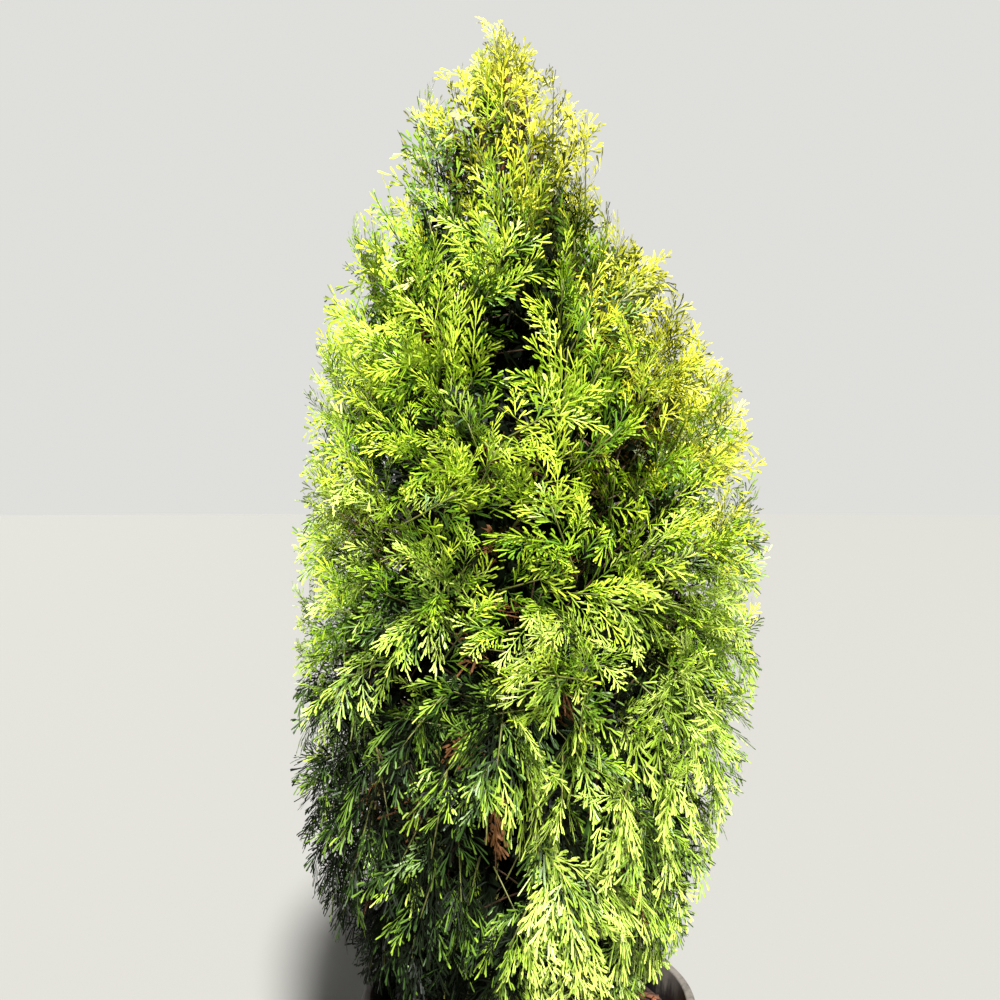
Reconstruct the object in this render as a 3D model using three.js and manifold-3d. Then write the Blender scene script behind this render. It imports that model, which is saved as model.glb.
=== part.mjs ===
// A golden thuja, about a metre tall, growing in a round black nursery pot.
// Millimetres, +Z up. The origin is the centre of the pot's flat underside, and -Y is the side seen first.
// The trunk runs whole from the potting mix to its tip. Boughs rise from it in tiers, and each bough carries
// one mass of foliage: a stem, twigs spaced up the stem, and flat toothed sprays that stand out of a core.
import * as THREE from "three";
import { mergeVertices } from "three/addons/utils/BufferGeometryUtils.js";
import Module from "manifold-3d";

const wasm = await Module();
wasm.setup();

// The pot
const POT_HEIGHT = 300;
const POT_BASE_RADIUS = 146;
const POT_TOP_RADIUS = 171;
const POT_WALL = 3;
const POT_FLOOR = 4;
const POT_SIDES = 32;
const RIM_HEIGHT = 26;
const RIM_PROUD = 7;
const RIM_ROUND = 3;
const FOOT_ROUND = 5;
const DRAIN_HOLES = 8;
const DRAIN_WIDTH = 22;
const DRAIN_HEIGHT = 16;
const DRAIN_ABOVE_FLOOR = 6;

// The potting mix, whose top sinks a little towards the wall and rolls by a few millimetres
const MIX_TOP = POT_HEIGHT - 28;
const MIX_GAP = 0.4;
const MIX_SIDES = 24;
const MIX_SLUMP = 7;
const MIX_ROLL = 2.5;

// The trunk: its lean and bow away from upright, its taper, and the flare at its foot
const CLEAR = 0.3;
const TREE_TOP = 1352;
const TRUNK_TIP = 1222;
const TRUNK_FOOT_X = -19;
const TRUNK_LEAN_X = -18;
const TRUNK_BOW_X = 14;
const TRUNK_BOW_Y = 6;
const TRUNK_RADIUS = 15;
const TRUNK_TIP_RADIUS = 2.6;
const FLARE_RADIUS = 11;
const FLARE_HEIGHT = 26;
const TRUNK_SIDES = 9;
const TRUNK_ROWS = 15;
const ROWS_CROWD_DOWN = 1.6;
const BARK_RIDGES = 3;
const BARK_RIDGE_SHARE = 0.07;
const BARK_TWIST = 45;

// The crown's outline: its foot, its widest radius and where that lies, the slim leader at its top, and the notch
// on its +X side between the leader and the highest shoulder
const CROWN_FOOT = 304;
const CROWN_RADIUS = 252;
const CROWN_SWELL_X = 19;
const WIDEST_SHARE = 0.45;
const TOP_ROUNDING = 2;
const FOOT_ROUNDING = 4.5;
const FOOT_TUCK = 0.5;
const LEADER_REACH = 16;
const NOTCH_HEIGHT = 1140;
const NOTCH_DEPTH = 50;
const NOTCH_SPAN = 42;

// Each tier of masses lies between two slanting surfaces. A surface is given by its height at the trunk and its
// height at the widest radius, so every tier climbs outwards as the boughs do.
const SURFACES = [
  { trunk: 326, rim: 302 },
  { trunk: 430, rim: 560 },
  { trunk: 585, rim: 800 },
  { trunk: 775, rim: 1030 },
  { trunk: 965, rim: 1255 },
  { trunk: 1226, rim: 1560 },
];

// A tier's masses share the circle evenly from its turn. The inner radius is where the cores begin, core is the
// share of the way out to the outline where they end, and lift is how steeply the sprays rise.
const TIERS = [
  { name: "skirt", masses: 6, turn: -2, inner: 58, core: 0.66, bough: 5.4, lift: -0.3, look: "deep" },
  { name: "lower", masses: 5, turn: -18, inner: 50, core: 0.66, bough: 5.2, lift: 0.2, look: "green" },
  { name: "middle", masses: 5, turn: 18, inner: 42, core: 0.64, bough: 4.6, lift: 0.6, look: "lime" },
  { name: "upper", masses: 4, turn: -40, inner: 30, core: 0.58, bough: 3.8, lift: 0.9, look: "lime" },
  { name: "crown", masses: 3, turn: 180, inner: 18, core: 0.42, bough: 2.8, lift: 1.3, look: "gold" },
];
const SPACE_MARGIN = 1.2;
const INNER_ROOM = 0.55;

// Boughs and stems, as shares of the tier's bough radius and inner radius
const BOUGH_ROOT_SHARE = 1.15;
const BOUGH_TIP_SHARE = 0.72;
const STEM_TIP_SHARE = 0.36;
const BOUGH_DROP = 0.7;
const BOUGH_STAGGER = 0.3;
const BOUGH_ELBOW = 0.4;

// A mass's core fills these shares of its space, and these are the sizes of what grows out of it
const CORE_ACROSS = 0.93;
const CORE_UP = 0.95;
const CORE_NEAR = 0.06;
const CORE_SQUARE = 0.56;
const SPRAYS = 11;
const SPRAY_LENGTH = 118;
const SPRAY_SIZES = [1, 0.85, 0.7, 0.55, 0.42];
const SPRAY_SPREAD = 40;
const SPRAY_THICKNESS = 1.8;
const SPRAY_SUNK = 0.24;
const SPRAY_REACH = 0.85;
const TWIG_RADIUS = 2.4;

// The leading tip
const TIP_SPRAYS = 9;
const TIP_SPRAY_LENGTHS = [78, 66, 54, 44, 34];
const TIP_CORE_RADIUS = 16;
const TIP_LOOSE = 10;
const TIP_LEAN = 0.75;

const TAU = 2 * Math.PI;
const GOLDEN_RATIO = (1 + Math.sqrt(5)) / 2;
const GOLDEN_ANGLE = Math.PI * (3 - Math.sqrt(5));
const radians = (degrees) => (degrees * Math.PI) / 180;
const mix = (a, b, share) => a + (b - a) * share;

// A repeatable stream of numbers from 0 to 1 (the mulberry32 rule)
function seeded(seed) {
  let state = seed >>> 0;
  return () => {
    state = (state + 0x6d2b79f5) >>> 0;
    let n = Math.imul(state ^ (state >>> 15), state | 1);
    n ^= n + Math.imul(n ^ (n >>> 7), n | 61);
    return ((n ^ (n >>> 14)) >>> 0) / 2 ** 32;
  };
}

// A solid for joining and cutting, from a closed geometry
function solid(geometry) {
  const bare = geometry.index ? geometry.toNonIndexed() : geometry.clone();
  bare.deleteAttribute("normal");
  bare.deleteAttribute("uv");
  const merged = mergeVertices(bare, 1e-4);
  return new wasm.Manifold(
    new wasm.Mesh({
      numProp: 3,
      vertProperties: merged.attributes.position.array,
      triVerts: new Uint32Array(merged.index.array),
    }),
  );
}

function geometryOf(body) {
  const { vertProperties, triVerts } = body.getMesh();
  const geometry = new THREE.BufferGeometry();
  geometry.setAttribute("position", new THREE.BufferAttribute(new Float32Array(vertProperties), 3));
  geometry.setIndex(new THREE.BufferAttribute(new Uint32Array(triVerts), 1));
  return geometry;
}

// The largest body of a solid, so that a scrap cut loose is dropped
function largest(body) {
  return body.decompose().reduce((a, b) => (b.volume() > a.volume() ? b : a));
}

// The trunk's centre line
function axisAt(z) {
  const share = (z - MIX_TOP) / (TREE_TOP - MIX_TOP);
  return new THREE.Vector3(
    TRUNK_FOOT_X + TRUNK_LEAN_X * share + TRUNK_BOW_X * Math.sin(Math.PI * share),
    TRUNK_BOW_Y * Math.sin(TAU * share),
    z,
  );
}

function fromAxis(radius, turn, z) {
  const centre = axisAt(z);
  return new THREE.Vector3(centre.x + radius * Math.cos(turn), centre.y + radius * Math.sin(turn), z);
}

// A place as a radius and a turn about the trunk's centre line
function aboutAxis(point) {
  const centre = axisAt(point.z);
  const [x, y] = [point.x - centre.x, point.y - centre.y];
  return { radius: Math.hypot(x, y), turn: Math.atan2(y, x) };
}

// How far the crown reaches from the centre line: a rounded foot, above the widest level a slow taper, and the notch
function crownReach(z, turn) {
  const share = THREE.MathUtils.clamp((z - CROWN_FOOT) / (TREE_TOP - CROWN_FOOT), 0, 1);
  const above = (share - WIDEST_SHARE) / (1 - WIDEST_SHARE);
  const below = (WIDEST_SHARE - share) / WIDEST_SHARE;
  const shape = share > WIDEST_SHARE ? 1 - above ** TOP_ROUNDING : 1 - FOOT_TUCK * below ** FOOT_ROUNDING;
  const swell = CROWN_SWELL_X * Math.sin(Math.PI * share) * Math.cos(turn);
  const facing = Math.max(0, Math.cos(turn)) ** 2;
  const notch = NOTCH_DEPTH * facing * Math.exp(-(((z - NOTCH_HEIGHT) / NOTCH_SPAN) ** 2));
  return Math.max(LEADER_REACH, CROWN_RADIUS * shape + swell - notch);
}

// A tapering limb: a cylinder whose rows are moved along a curve and given the radius that belongs there. The
// level line across the limb guides every row, so that no row turns against the next.
function limb(pointAt, radiusAt, sides, rows) {
  const geometry = new THREE.CylinderGeometry(1, 1, 1, sides, rows);
  const place = geometry.attributes.position;
  const step = 0.02;
  const level = new THREE.Vector3(0, 0, 1).cross(pointAt(1).sub(pointAt(0)));
  if (level.length() < 1) level.set(0, 1, 0);
  for (let i = 0; i < place.count; i++) {
    const share = place.getY(i) + 0.5;
    const centre = pointAt(share);
    const along = pointAt(Math.min(1, share + step)).sub(pointAt(Math.max(0, share - step))).normalize();
    const side = level.clone().projectOnPlane(along).normalize();
    const third = new THREE.Vector3().crossVectors(side, along);
    const radius = radiusAt(share);
    centre.addScaledVector(side, place.getX(i) * radius).addScaledVector(third, place.getZ(i) * radius);
    place.setXYZ(i, centre.x, centre.y, centre.z);
  }
  return geometry;
}

// The pot: one turned wall with a rolled collar, a flat floor, and drain openings round the foot of the wall
function wallRadius(z) {
  return mix(POT_BASE_RADIUS, POT_TOP_RADIUS, z / POT_HEIGHT);
}

function turned(profile, sides) {
  const points = profile.map(([radius, z]) => new THREE.Vector2(radius, z));
  return new THREE.LatheGeometry(points, sides).rotateX(Math.PI / 2);
}

function potSolid() {
  const collarFoot = POT_HEIGHT - RIM_HEIGHT;
  const collarRadius = POT_TOP_RADIUS + RIM_PROUD;
  const innerRadius = POT_TOP_RADIUS - POT_WALL;
  const profile = [
    [0, 0],
    [POT_BASE_RADIUS - FOOT_ROUND, 0],
    [POT_BASE_RADIUS, FOOT_ROUND],
    [wallRadius(collarFoot), collarFoot],
    [wallRadius(collarFoot) + RIM_PROUD, collarFoot + RIM_ROUND],
    [collarRadius, POT_HEIGHT - RIM_ROUND],
    [collarRadius - RIM_ROUND, POT_HEIGHT],
    [innerRadius + 1, POT_HEIGHT],
    [innerRadius, POT_HEIGHT - RIM_ROUND],
    [POT_BASE_RADIUS - POT_WALL, POT_FLOOR],
    [0, POT_FLOOR],
  ];
  let body = solid(turned(profile, POT_SIDES));
  for (let hole = 0; hole < DRAIN_HOLES; hole++) {
    const cutter = new THREE.BoxGeometry(10 * POT_WALL, DRAIN_WIDTH, DRAIN_HEIGHT);
    cutter.translate(POT_BASE_RADIUS, 0, POT_FLOOR + DRAIN_ABOVE_FLOOR + DRAIN_HEIGHT / 2);
    cutter.rotateZ(((hole + 0.5) * TAU) / DRAIN_HOLES);
    body = body.subtract(solid(cutter));
  }
  return body;
}

// The potting mix: it fills the pot, and its rolling top is flat under the trunk
function mixSolid() {
  const edge = MIX_TOP - MIX_SLUMP;
  const foot = POT_FLOOR + MIX_GAP;
  const outerRadius = (z) => wallRadius(z) - POT_WALL - 2;
  const flat = POT_TOP_RADIUS * 0.35;
  const profile = [
    [0, foot],
    [outerRadius(foot), foot],
    [outerRadius(edge), edge],
    [POT_TOP_RADIUS * 0.78, MIX_TOP - 2],
    [POT_TOP_RADIUS * 0.55, MIX_TOP - 3],
    [flat, MIX_TOP],
    [0, MIX_TOP],
  ];
  const geometry = turned(profile, MIX_SIDES);
  const place = geometry.attributes.position;
  for (let i = 0; i < place.count; i++) {
    const [x, y, z] = [place.getX(i), place.getY(i), place.getZ(i)];
    const rolls = z > edge + 1 && Math.hypot(x, y) > flat + 1;
    if (rolls) place.setZ(i, z + MIX_ROLL * Math.sin(x / 23) * Math.cos(y / 19));
  }
  return solid(geometry);
}

// The trunk. Given a growth, the same shape is that much larger all round, to cut what stands too near it.
function trunkRadius(z) {
  const share = (z - MIX_TOP) / (TRUNK_TIP - MIX_TOP);
  const flare = FLARE_RADIUS * Math.exp(-(z - MIX_TOP) / FLARE_HEIGHT);
  return mix(TRUNK_RADIUS, TRUNK_TIP_RADIUS, share ** 0.85) + flare;
}

function trunkSolid(growth) {
  const foot = MIX_TOP + CLEAR - growth;
  const geometry = new THREE.CylinderGeometry(1, 1, 1, TRUNK_SIDES, TRUNK_ROWS);
  const place = geometry.attributes.position;
  for (let i = 0; i < place.count; i++) {
    const [across, along] = [place.getZ(i), place.getX(i)];
    const z = mix(foot, TRUNK_TIP + growth, (place.getY(i) + 0.5) ** ROWS_CROWD_DOWN);
    const ridge = 1 + BARK_RIDGE_SHARE * Math.sin(BARK_RIDGES * Math.atan2(along, across) + z / BARK_TWIST);
    const radius = trunkRadius(Math.max(z, MIX_TOP)) * ridge + growth;
    const centre = axisAt(z);
    place.setXYZ(i, centre.x + across * radius, centre.y + along * radius, z);
  }
  return solid(geometry);
}

// The slanting surface under a tier, as a height at a radius
function surfaceAt(level, radius) {
  const { trunk, rim } = SURFACES[level];
  return mix(trunk, rim, radius / CROWN_RADIUS);
}

// A mass's own space: its sector, between its two surfaces, inside the crown's outline and outside the trunk's
// room. Its "at" gives a place from three shares: across and up from -1 to 1, and outwards from 0 to 1.
function spaceOf(tier, index) {
  const { masses, turn: firstTurn, inner, core } = TIERS[tier];
  const middle = radians(firstTurn) + (index * TAU) / masses;
  const half = Math.PI / masses;
  const holds = (point) => {
    const { radius, turn } = aboutAxis(point);
    const off = Math.abs(Math.atan2(Math.sin(turn - middle), Math.cos(turn - middle)));
    return (
      off < half &&
      radius * Math.sin(half - off) > SPACE_MARGIN &&
      radius > inner * INNER_ROOM &&
      radius < crownReach(point.z, turn) &&
      point.z > surfaceAt(tier, radius) + SPACE_MARGIN &&
      point.z < surfaceAt(tier + 1, radius) - SPACE_MARGIN
    );
  };
  const at = (across, up, out) => {
    const turn = middle + across * half;
    let radius = inner;
    let z = 0;
    for (let pass = 0; pass < 6; pass++) {
      z = mix(surfaceAt(tier, radius), surfaceAt(tier + 1, radius), (up + 1) / 2);
      radius = mix(inner, Math.max(inner + 8, crownReach(z, turn)), out);
    }
    return fromAxis(radius, turn, z);
  };
  return { middle, half, core, holds, at };
}

// The leading tip's space: above the last surface, and close round the centre line
function tipSpace() {
  const holds = (point) => {
    const { radius, turn } = aboutAxis(point);
    const floor = surfaceAt(SURFACES.length - 1, radius) + SPACE_MARGIN;
    return point.z > floor && radius < crownReach(point.z, turn) + TIP_LOOSE;
  };
  return { holds };
}

function inside(geometry, space) {
  const place = geometry.attributes.position;
  const point = new THREE.Vector3();
  for (let i = 0; i < place.count; i++) {
    if (!space.holds(point.fromBufferAttribute(place, i))) return false;
  }
  return true;
}

// A mass's stem rises from its space's inner face to its top, and its bough leads to that stem from the trunk
function stemCurve(space) {
  const foot = space.at(0, -0.28, 0.04);
  const bend = space.at(0, -0.1, 0.55);
  const tip = space.at(0, 0.6, 0.5);
  return new THREE.QuadraticBezierCurve3(foot, bend, tip);
}

function boughSolid(stem, tier, index, growth) {
  const { inner, bough } = TIERS[tier];
  const along = stem.getTangent(0);
  const tip = stem.getPoint(0).addScaledVector(along, -CLEAR);
  const root = axisAt(tip.z - inner * (BOUGH_DROP + BOUGH_STAGGER * (index % 3)));
  const elbow = tip.clone().addScaledVector(along, -inner * BOUGH_ELBOW);
  const curve = new THREE.QuadraticBezierCurve3(root, elbow, tip);
  const radiusAt = (share) => bough * mix(BOUGH_ROOT_SHARE, BOUGH_TIP_SHARE, share) + growth;
  return solid(limb((share) => curve.getPoint(share), radiusAt, 5, 3));
}

// A flat fan-shaped spray: three fingers that spread from a narrow foot, with notches between them
function sprayGeometry(length) {
  const spread = radians(SPRAY_SPREAD);
  const fan = [
    { reach: length * 0.8, turn: -spread },
    { reach: length * 0.42, turn: -spread / 2 },
    { reach: length, turn: 0 },
    { reach: length * 0.42, turn: spread / 2 },
    { reach: length * 0.8, turn: spread },
  ];
  const foot = length * 0.05;
  const outline = new THREE.Shape();
  outline.moveTo(0, -foot);
  fan.forEach(({ reach, turn }) => outline.lineTo(reach * Math.cos(turn), reach * Math.sin(turn)));
  outline.lineTo(0, foot);
  const blade = new THREE.ExtrudeGeometry(outline, { depth: SPRAY_THICKNESS, bevelEnabled: false });
  return blade.translate(0, 0, -SPRAY_THICKNESS / 2);
}

// The largest spray of some lengths that stays inside its space
function fittedSpray(lengths, footFor, direction, normal, space) {
  const side = new THREE.Vector3().crossVectors(normal, direction).normalize();
  const face = new THREE.Vector3().crossVectors(direction, side);
  for (const length of lengths) {
    const foot = footFor(length);
    const place = new THREE.Matrix4().makeBasis(direction, side, face).setPosition(foot);
    const spray = sprayGeometry(length).applyMatrix4(place);
    if (inside(spray, space)) return { spray, foot };
  }
  return null;
}

// A place on or in the core, from shares of -1 to 1 across the sector, upwards and outwards
function coreAt(space, across, up, out) {
  return space.at(across * CORE_ACROSS, up * CORE_UP, mix(CORE_NEAR, space.core, (out + 1) / 2));
}

// The core of a mass: a coarse ball, squared at its corners, that fills the middle of the space
function coreSolid(space) {
  const geometry = new THREE.SphereGeometry(1, 7, 5);
  const place = geometry.attributes.position;
  const squared = (share) => Math.sign(share) * Math.abs(share) ** CORE_SQUARE;
  for (let i = 0; i < place.count; i++) {
    const point = coreAt(space, squared(place.getX(i)), squared(place.getY(i)), squared(place.getZ(i)));
    place.setXYZ(i, point.x, point.y, point.z);
  }
  return solid(geometry);
}

// One mass: core, stem, twigs up the stem, and a spray at the end of each. The sprays stand out of the core's
// outer face, the even ones edge-on to it and the odd ones lying over it like shingles.
function massSolid(space, stem, tier, index) {
  const { bough, lift } = TIERS[tier];
  const random = seeded(100 * tier + index + 7);
  const stemRadius = (share) => bough * mix(BOUGH_TIP_SHARE, STEM_TIP_SHARE, share);
  let body = coreSolid(space).add(solid(limb((share) => stem.getPoint(share), stemRadius, 5, 2)));
  for (let i = 0; i < SPRAYS; i++) {
    const share = (i + 0.5) / SPRAYS;
    const across = mix(-SPRAY_REACH, SPRAY_REACH, (i / GOLDEN_RATIO) % 1);
    const up = mix(-SPRAY_REACH, 1, share);
    const skin = coreAt(space, across, up, 1 - 0.3 * Math.abs(up));
    const turn = space.middle + across * space.half;
    const outward = new THREE.Vector3(Math.cos(turn), Math.sin(turn), 0);
    const sideways = new THREE.Vector3(-Math.sin(turn), Math.cos(turn), 0);
    const direction = new THREE.Vector3(0, 0, lift + 0.5 * up).addScaledVector(outward, 0.8);
    direction.addScaledVector(sideways, 0.7 * across + random() - 0.5).normalize();
    const normal = new THREE.Vector3().crossVectors(direction, i % 2 ? outward : sideways).normalize();
    normal.applyAxisAngle(direction, random() - 0.5);
    const grown = SPRAY_LENGTH * mix(0.92, 1.08, random());
    const lengths = SPRAY_SIZES.map((size) => size * grown);
    const footFor = (length) => skin.clone().addScaledVector(direction, -length * SPRAY_SUNK);
    const fitted = fittedSpray(lengths, footFor, direction, normal, space);
    if (!fitted) continue;
    const root = stem.getPoint(share);
    const twig = limb((along) => root.clone().lerp(fitted.foot, along), () => TWIG_RADIUS, 3, 1);
    body = body.add(solid(twig)).add(solid(fitted.spray));
  }
  return largest(body.subtract(trunkSolid(CLEAR)).subtract(boughSolid(stem, tier, index, CLEAR)));
}

// The leading tip: a stem that carries on from the trunk, with a slim core and ever steeper sprays up it
function tipSolid() {
  const random = seeded(991);
  const space = tipSpace();
  const coreAlong = (share) => axisAt(mix(TRUNK_TIP + 16, TREE_TOP - 30, share));
  const coreRadius = (share) => 1.5 + (TIP_CORE_RADIUS - 1.5) * Math.sin(Math.PI * share ** 0.75);
  const stemAlong = (share) => axisAt(mix(TRUNK_TIP + CLEAR, TREE_TOP - 12, share));
  const stemRadius = (share) => mix(TRUNK_TIP_RADIUS, 1.2, share);
  let body = solid(limb(coreAlong, coreRadius, 6, 4)).add(solid(limb(stemAlong, stemRadius, 5, 3)));
  for (let i = 0; i < TIP_SPRAYS; i++) {
    const share = i / (TIP_SPRAYS - 1);
    const turn = i * GOLDEN_ANGLE;
    const lean = TIP_LEAN * (1 - share ** 1.5);
    const [level, upright] = [Math.sin(lean), Math.cos(lean)];
    const direction = new THREE.Vector3(level * Math.cos(turn), level * Math.sin(turn), upright);
    const normal = new THREE.Vector3(-Math.sin(turn), Math.cos(turn), 0);
    normal.applyAxisAngle(direction, 1.6 * (random() - 0.5));
    const footFor = (length) => axisAt(mix(TRUNK_TIP + 24, TREE_TOP - length * upright, share));
    const fitted = fittedSpray(TIP_SPRAY_LENGTHS, footFor, direction, normal, space);
    if (fitted) body = body.add(solid(fitted.spray));
  }
  return largest(body);
}

// Assembly
const looks = {
  plastic: { color: 0x1a1a1b, roughness: 0.5 },
  mix: { color: 0x3a2417, roughness: 0.95 },
  bark: { color: 0x7a4f33, roughness: 0.9 },
  gold: { color: 0xc4d43a, roughness: 0.6 },
  lime: { color: 0x8fbf35, roughness: 0.6 },
  green: { color: 0x4f8a2c, roughness: 0.65 },
  deep: { color: 0x2d5c2a, roughness: 0.65 },
};
const plant = new THREE.Group();

function addPiece(name, body, look) {
  const material = new THREE.MeshStandardMaterial({ ...looks[look], metalness: 0 });
  const mesh = new THREE.Mesh(geometryOf(body), material);
  mesh.name = name;
  plant.add(mesh);
}

addPiece("pot", potSolid(), "plastic");
addPiece("potting_mix", mixSolid(), "mix");
addPiece("trunk", trunkSolid(0), "bark");
TIERS.forEach(({ name, masses, look }, tier) => {
  for (let index = 0; index < masses; index++) {
    const space = spaceOf(tier, index);
    const stem = stemCurve(space);
    const bough = boughSolid(stem, tier, index, 0).subtract(trunkSolid(CLEAR));
    addPiece(`bough_${name}_${index + 1}`, largest(bough), "bark");
    addPiece(`foliage_${name}_${index + 1}`, massSolid(space, stem, tier, index), look);
  }
});
addPiece("foliage_tip", tipSolid(), "gold");

export default plant;
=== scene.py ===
"""A golden thuja, about a metre tall, growing in a round black nursery pot.

Sizes are in millimetres in the frame of the solids, +Z up, with the origin at the centre of the pot's flat
underside and -Y the side seen first. Meshes are written in metres.
"""
import math

import bpy
import numpy as np
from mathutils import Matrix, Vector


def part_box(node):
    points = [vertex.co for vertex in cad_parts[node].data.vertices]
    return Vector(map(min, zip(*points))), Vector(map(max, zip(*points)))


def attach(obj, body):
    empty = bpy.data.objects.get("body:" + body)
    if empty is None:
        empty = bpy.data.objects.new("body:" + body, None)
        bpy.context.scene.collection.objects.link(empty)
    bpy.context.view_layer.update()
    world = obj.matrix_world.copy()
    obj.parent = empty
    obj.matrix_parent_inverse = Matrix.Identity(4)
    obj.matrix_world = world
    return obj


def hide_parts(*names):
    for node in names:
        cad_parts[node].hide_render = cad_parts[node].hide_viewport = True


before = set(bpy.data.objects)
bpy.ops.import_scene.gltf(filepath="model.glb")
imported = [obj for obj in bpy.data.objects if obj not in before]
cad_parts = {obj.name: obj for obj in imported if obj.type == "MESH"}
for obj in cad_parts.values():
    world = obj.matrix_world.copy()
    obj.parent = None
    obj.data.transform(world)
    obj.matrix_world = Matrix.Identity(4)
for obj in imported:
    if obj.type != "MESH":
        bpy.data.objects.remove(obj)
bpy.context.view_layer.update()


# The pot
# A nursery pot of black polypropylene, moulded in one piece with a rolled lip, two grip rings and drain
# openings. It has stood outdoors: lime dust lies on the lip and the shoulder, where a painted highlight
# also pales them, and the wall is scuffed.
MM = 0.001
TAU = 2 * math.pi
POT_HEIGHT = round(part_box("pot")[1].z / MM)
POT_BASE_RADIUS = 146
POT_TOP_RADIUS = 171
POT_WALL = 3
POT_FLOOR = 4
COLLAR_RADIUS = 178
COLLAR_HEIGHT = 26
FOOT_ROUND = 5
DRAIN_OPENINGS = 8
DRAIN_LIFT = 6
DRAIN_TALL = 16
DRAIN_LOW = POT_FLOOR + DRAIN_LIFT
DRAIN_HIGH = DRAIN_LOW + DRAIN_TALL
POT_COLUMNS = 160
DRAIN_COLUMNS = 4
GRIP_RINGS = [196, 212]
GRIP_RING_PROUD = 0.8
GRIP_RING_HALF = 2
GRIP_RING_STEPS = [-3, -1, 1, 3]
COLLAR_ROUND = 2.2
COLLAR_LIFT = 2.4
LIP_ROUND = 4
INNER_LIP_ROUND = 2
FLOOR_CORNER = 3
FLOOR_RING = 60
POLE_RADIUS = 0.1
OUTER_ROWS = [DRAIN_LOW, DRAIN_HIGH, 60, 110, 150]
INNER_ROWS = [240, 120, DRAIN_HIGH, DRAIN_LOW]
STREAK_WIDTH = 9
BLOTCH_SIZE = 40
LIP_DUST_AND_HIGHLIGHT = 38
SCUFF_SIZE = 2.5
SCUFF_DEPTH = 0.4


def add_piece(name, points, faces, material, slot, replaced):
    """A smooth mesh piece from points in millimetres and arrays of faces with three or four corners."""
    corners = np.concatenate([part.ravel() for part in faces]).astype(np.int32)
    sizes = np.concatenate([np.full(len(part), part.shape[1]) for part in faces])
    starts = np.concatenate([[0], np.cumsum(sizes)[:-1]]).astype(np.int32)
    mesh = bpy.data.meshes.new(name)
    mesh.vertices.add(len(points))
    mesh.vertices.foreach_set("co", (np.asarray(points) * MM).astype(np.float32).ravel())
    mesh.loops.add(len(corners))
    mesh.loops.foreach_set("vertex_index", corners)
    mesh.polygons.add(len(starts))
    mesh.polygons.foreach_set("loop_start", starts)
    mesh.polygons.foreach_set("use_smooth", np.ones(len(starts), dtype=bool))
    mesh.update(calc_edges=True)
    mesh.materials.append(material)
    piece = bpy.data.objects.new(name, mesh)
    bpy.context.scene.collection.objects.link(piece)
    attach(piece, "root")
    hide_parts(*replaced)
    return piece


def linear(hex_colour):
    """The linear colour of an sRGB hex value: each channel c becomes ((c + 0.055) / 1.055) to the power 2.4,
    or c / 12.92 where it is very dark."""
    channels = [int(hex_colour[i:i + 2], 16) / 255 for i in (1, 3, 5)]
    return [c / 12.92 if c <= 0.04045 else ((c + 0.055) / 1.055) ** 2.4 for c in channels] + [1]


def add_node(material, kind, settings, inputs):
    """A shader node with its properties set, and each input set to a value or linked to an output."""
    tree = material.node_tree
    node = tree.nodes.new(kind)
    for name, value in settings.items():
        setattr(node, name, value)
    for name, value in inputs.items():
        if isinstance(value, bpy.types.NodeSocket):
            tree.links.new(value, node.inputs[name])
        else:
            node.inputs[name].default_value = value
    return node


def new_material(name):
    """An empty material and its output node."""
    material = bpy.data.materials.new(name)
    material.use_nodes = True
    material.node_tree.nodes.clear()
    return material, add_node(material, "ShaderNodeOutputMaterial", {}, {})


def ring_faces(rows, columns):
    """The quads of a grid that closes across: each joins a point, the one above and their neighbours."""
    low = np.arange(rows - 1)[:, None] * columns + np.arange(columns)[None, :]
    side = np.arange(rows - 1)[:, None] * columns + (np.arange(columns)[None, :] + 1) % columns
    return np.stack([low, side, side + columns, low + columns], axis=-1)


def arc(centre, radius, start, end, steps):
    """Points on a circle, from one angle to another in degrees, both ends included."""
    angles = np.radians(np.linspace(start, end, steps))
    return [[centre[0] + radius * math.cos(a), centre[1] + radius * math.sin(a)] for a in angles]


def pot_wall_radius(z):
    """The wall's outer radius grows evenly from the base to the lip."""
    return POT_BASE_RADIUS + (POT_TOP_RADIUS - POT_BASE_RADIUS) * z / POT_HEIGHT


def pot_profile():
    """Radius and height round the wall: underside, foot, outer wall, collar, lip, inner wall and floor."""
    outer_rows = OUTER_ROWS + [ring + step for ring in GRIP_RINGS for step in GRIP_RING_STEPS]
    collar_foot = POT_HEIGHT - COLLAR_HEIGHT
    on_ring = [min(abs(z - ring) for ring in GRIP_RINGS) < GRIP_RING_HALF for z in outer_rows]
    wall = [[pot_wall_radius(z) + GRIP_RING_PROUD * proud, z] for z, proud in zip(outer_rows, on_ring)]
    under = [[POLE_RADIUS, 0], [FLOOR_RING, 0], [POT_BASE_RADIUS - FOOT_ROUND, 0]]
    foot = arc([POT_BASE_RADIUS - FOOT_ROUND, FOOT_ROUND], FOOT_ROUND, -80, 0, 5)
    collar = arc([COLLAR_RADIUS - COLLAR_ROUND, collar_foot + COLLAR_LIFT], COLLAR_ROUND, -90, 0, 5)
    lip = arc([COLLAR_RADIUS - LIP_ROUND, POT_HEIGHT - LIP_ROUND], LIP_ROUND, 0, 90, 7)
    inner_centre = [POT_TOP_RADIUS - POT_WALL + INNER_LIP_ROUND, POT_HEIGHT - INNER_LIP_ROUND]
    inner_lip = arc(inner_centre, INNER_LIP_ROUND, 90, 180, 4)
    inner = [[pot_wall_radius(z) - POT_WALL, z] for z in INNER_ROWS]
    floor_edge = POT_BASE_RADIUS - POT_WALL - FLOOR_CORNER
    floor = [[floor_edge, POT_FLOOR], [FLOOR_RING, POT_FLOOR], [POLE_RADIUS, POT_FLOOR]]
    neck = [[pot_wall_radius(collar_foot), collar_foot]]
    return np.array(under + foot + wall + neck + collar + lip + inner_lip + inner + floor)


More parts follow.
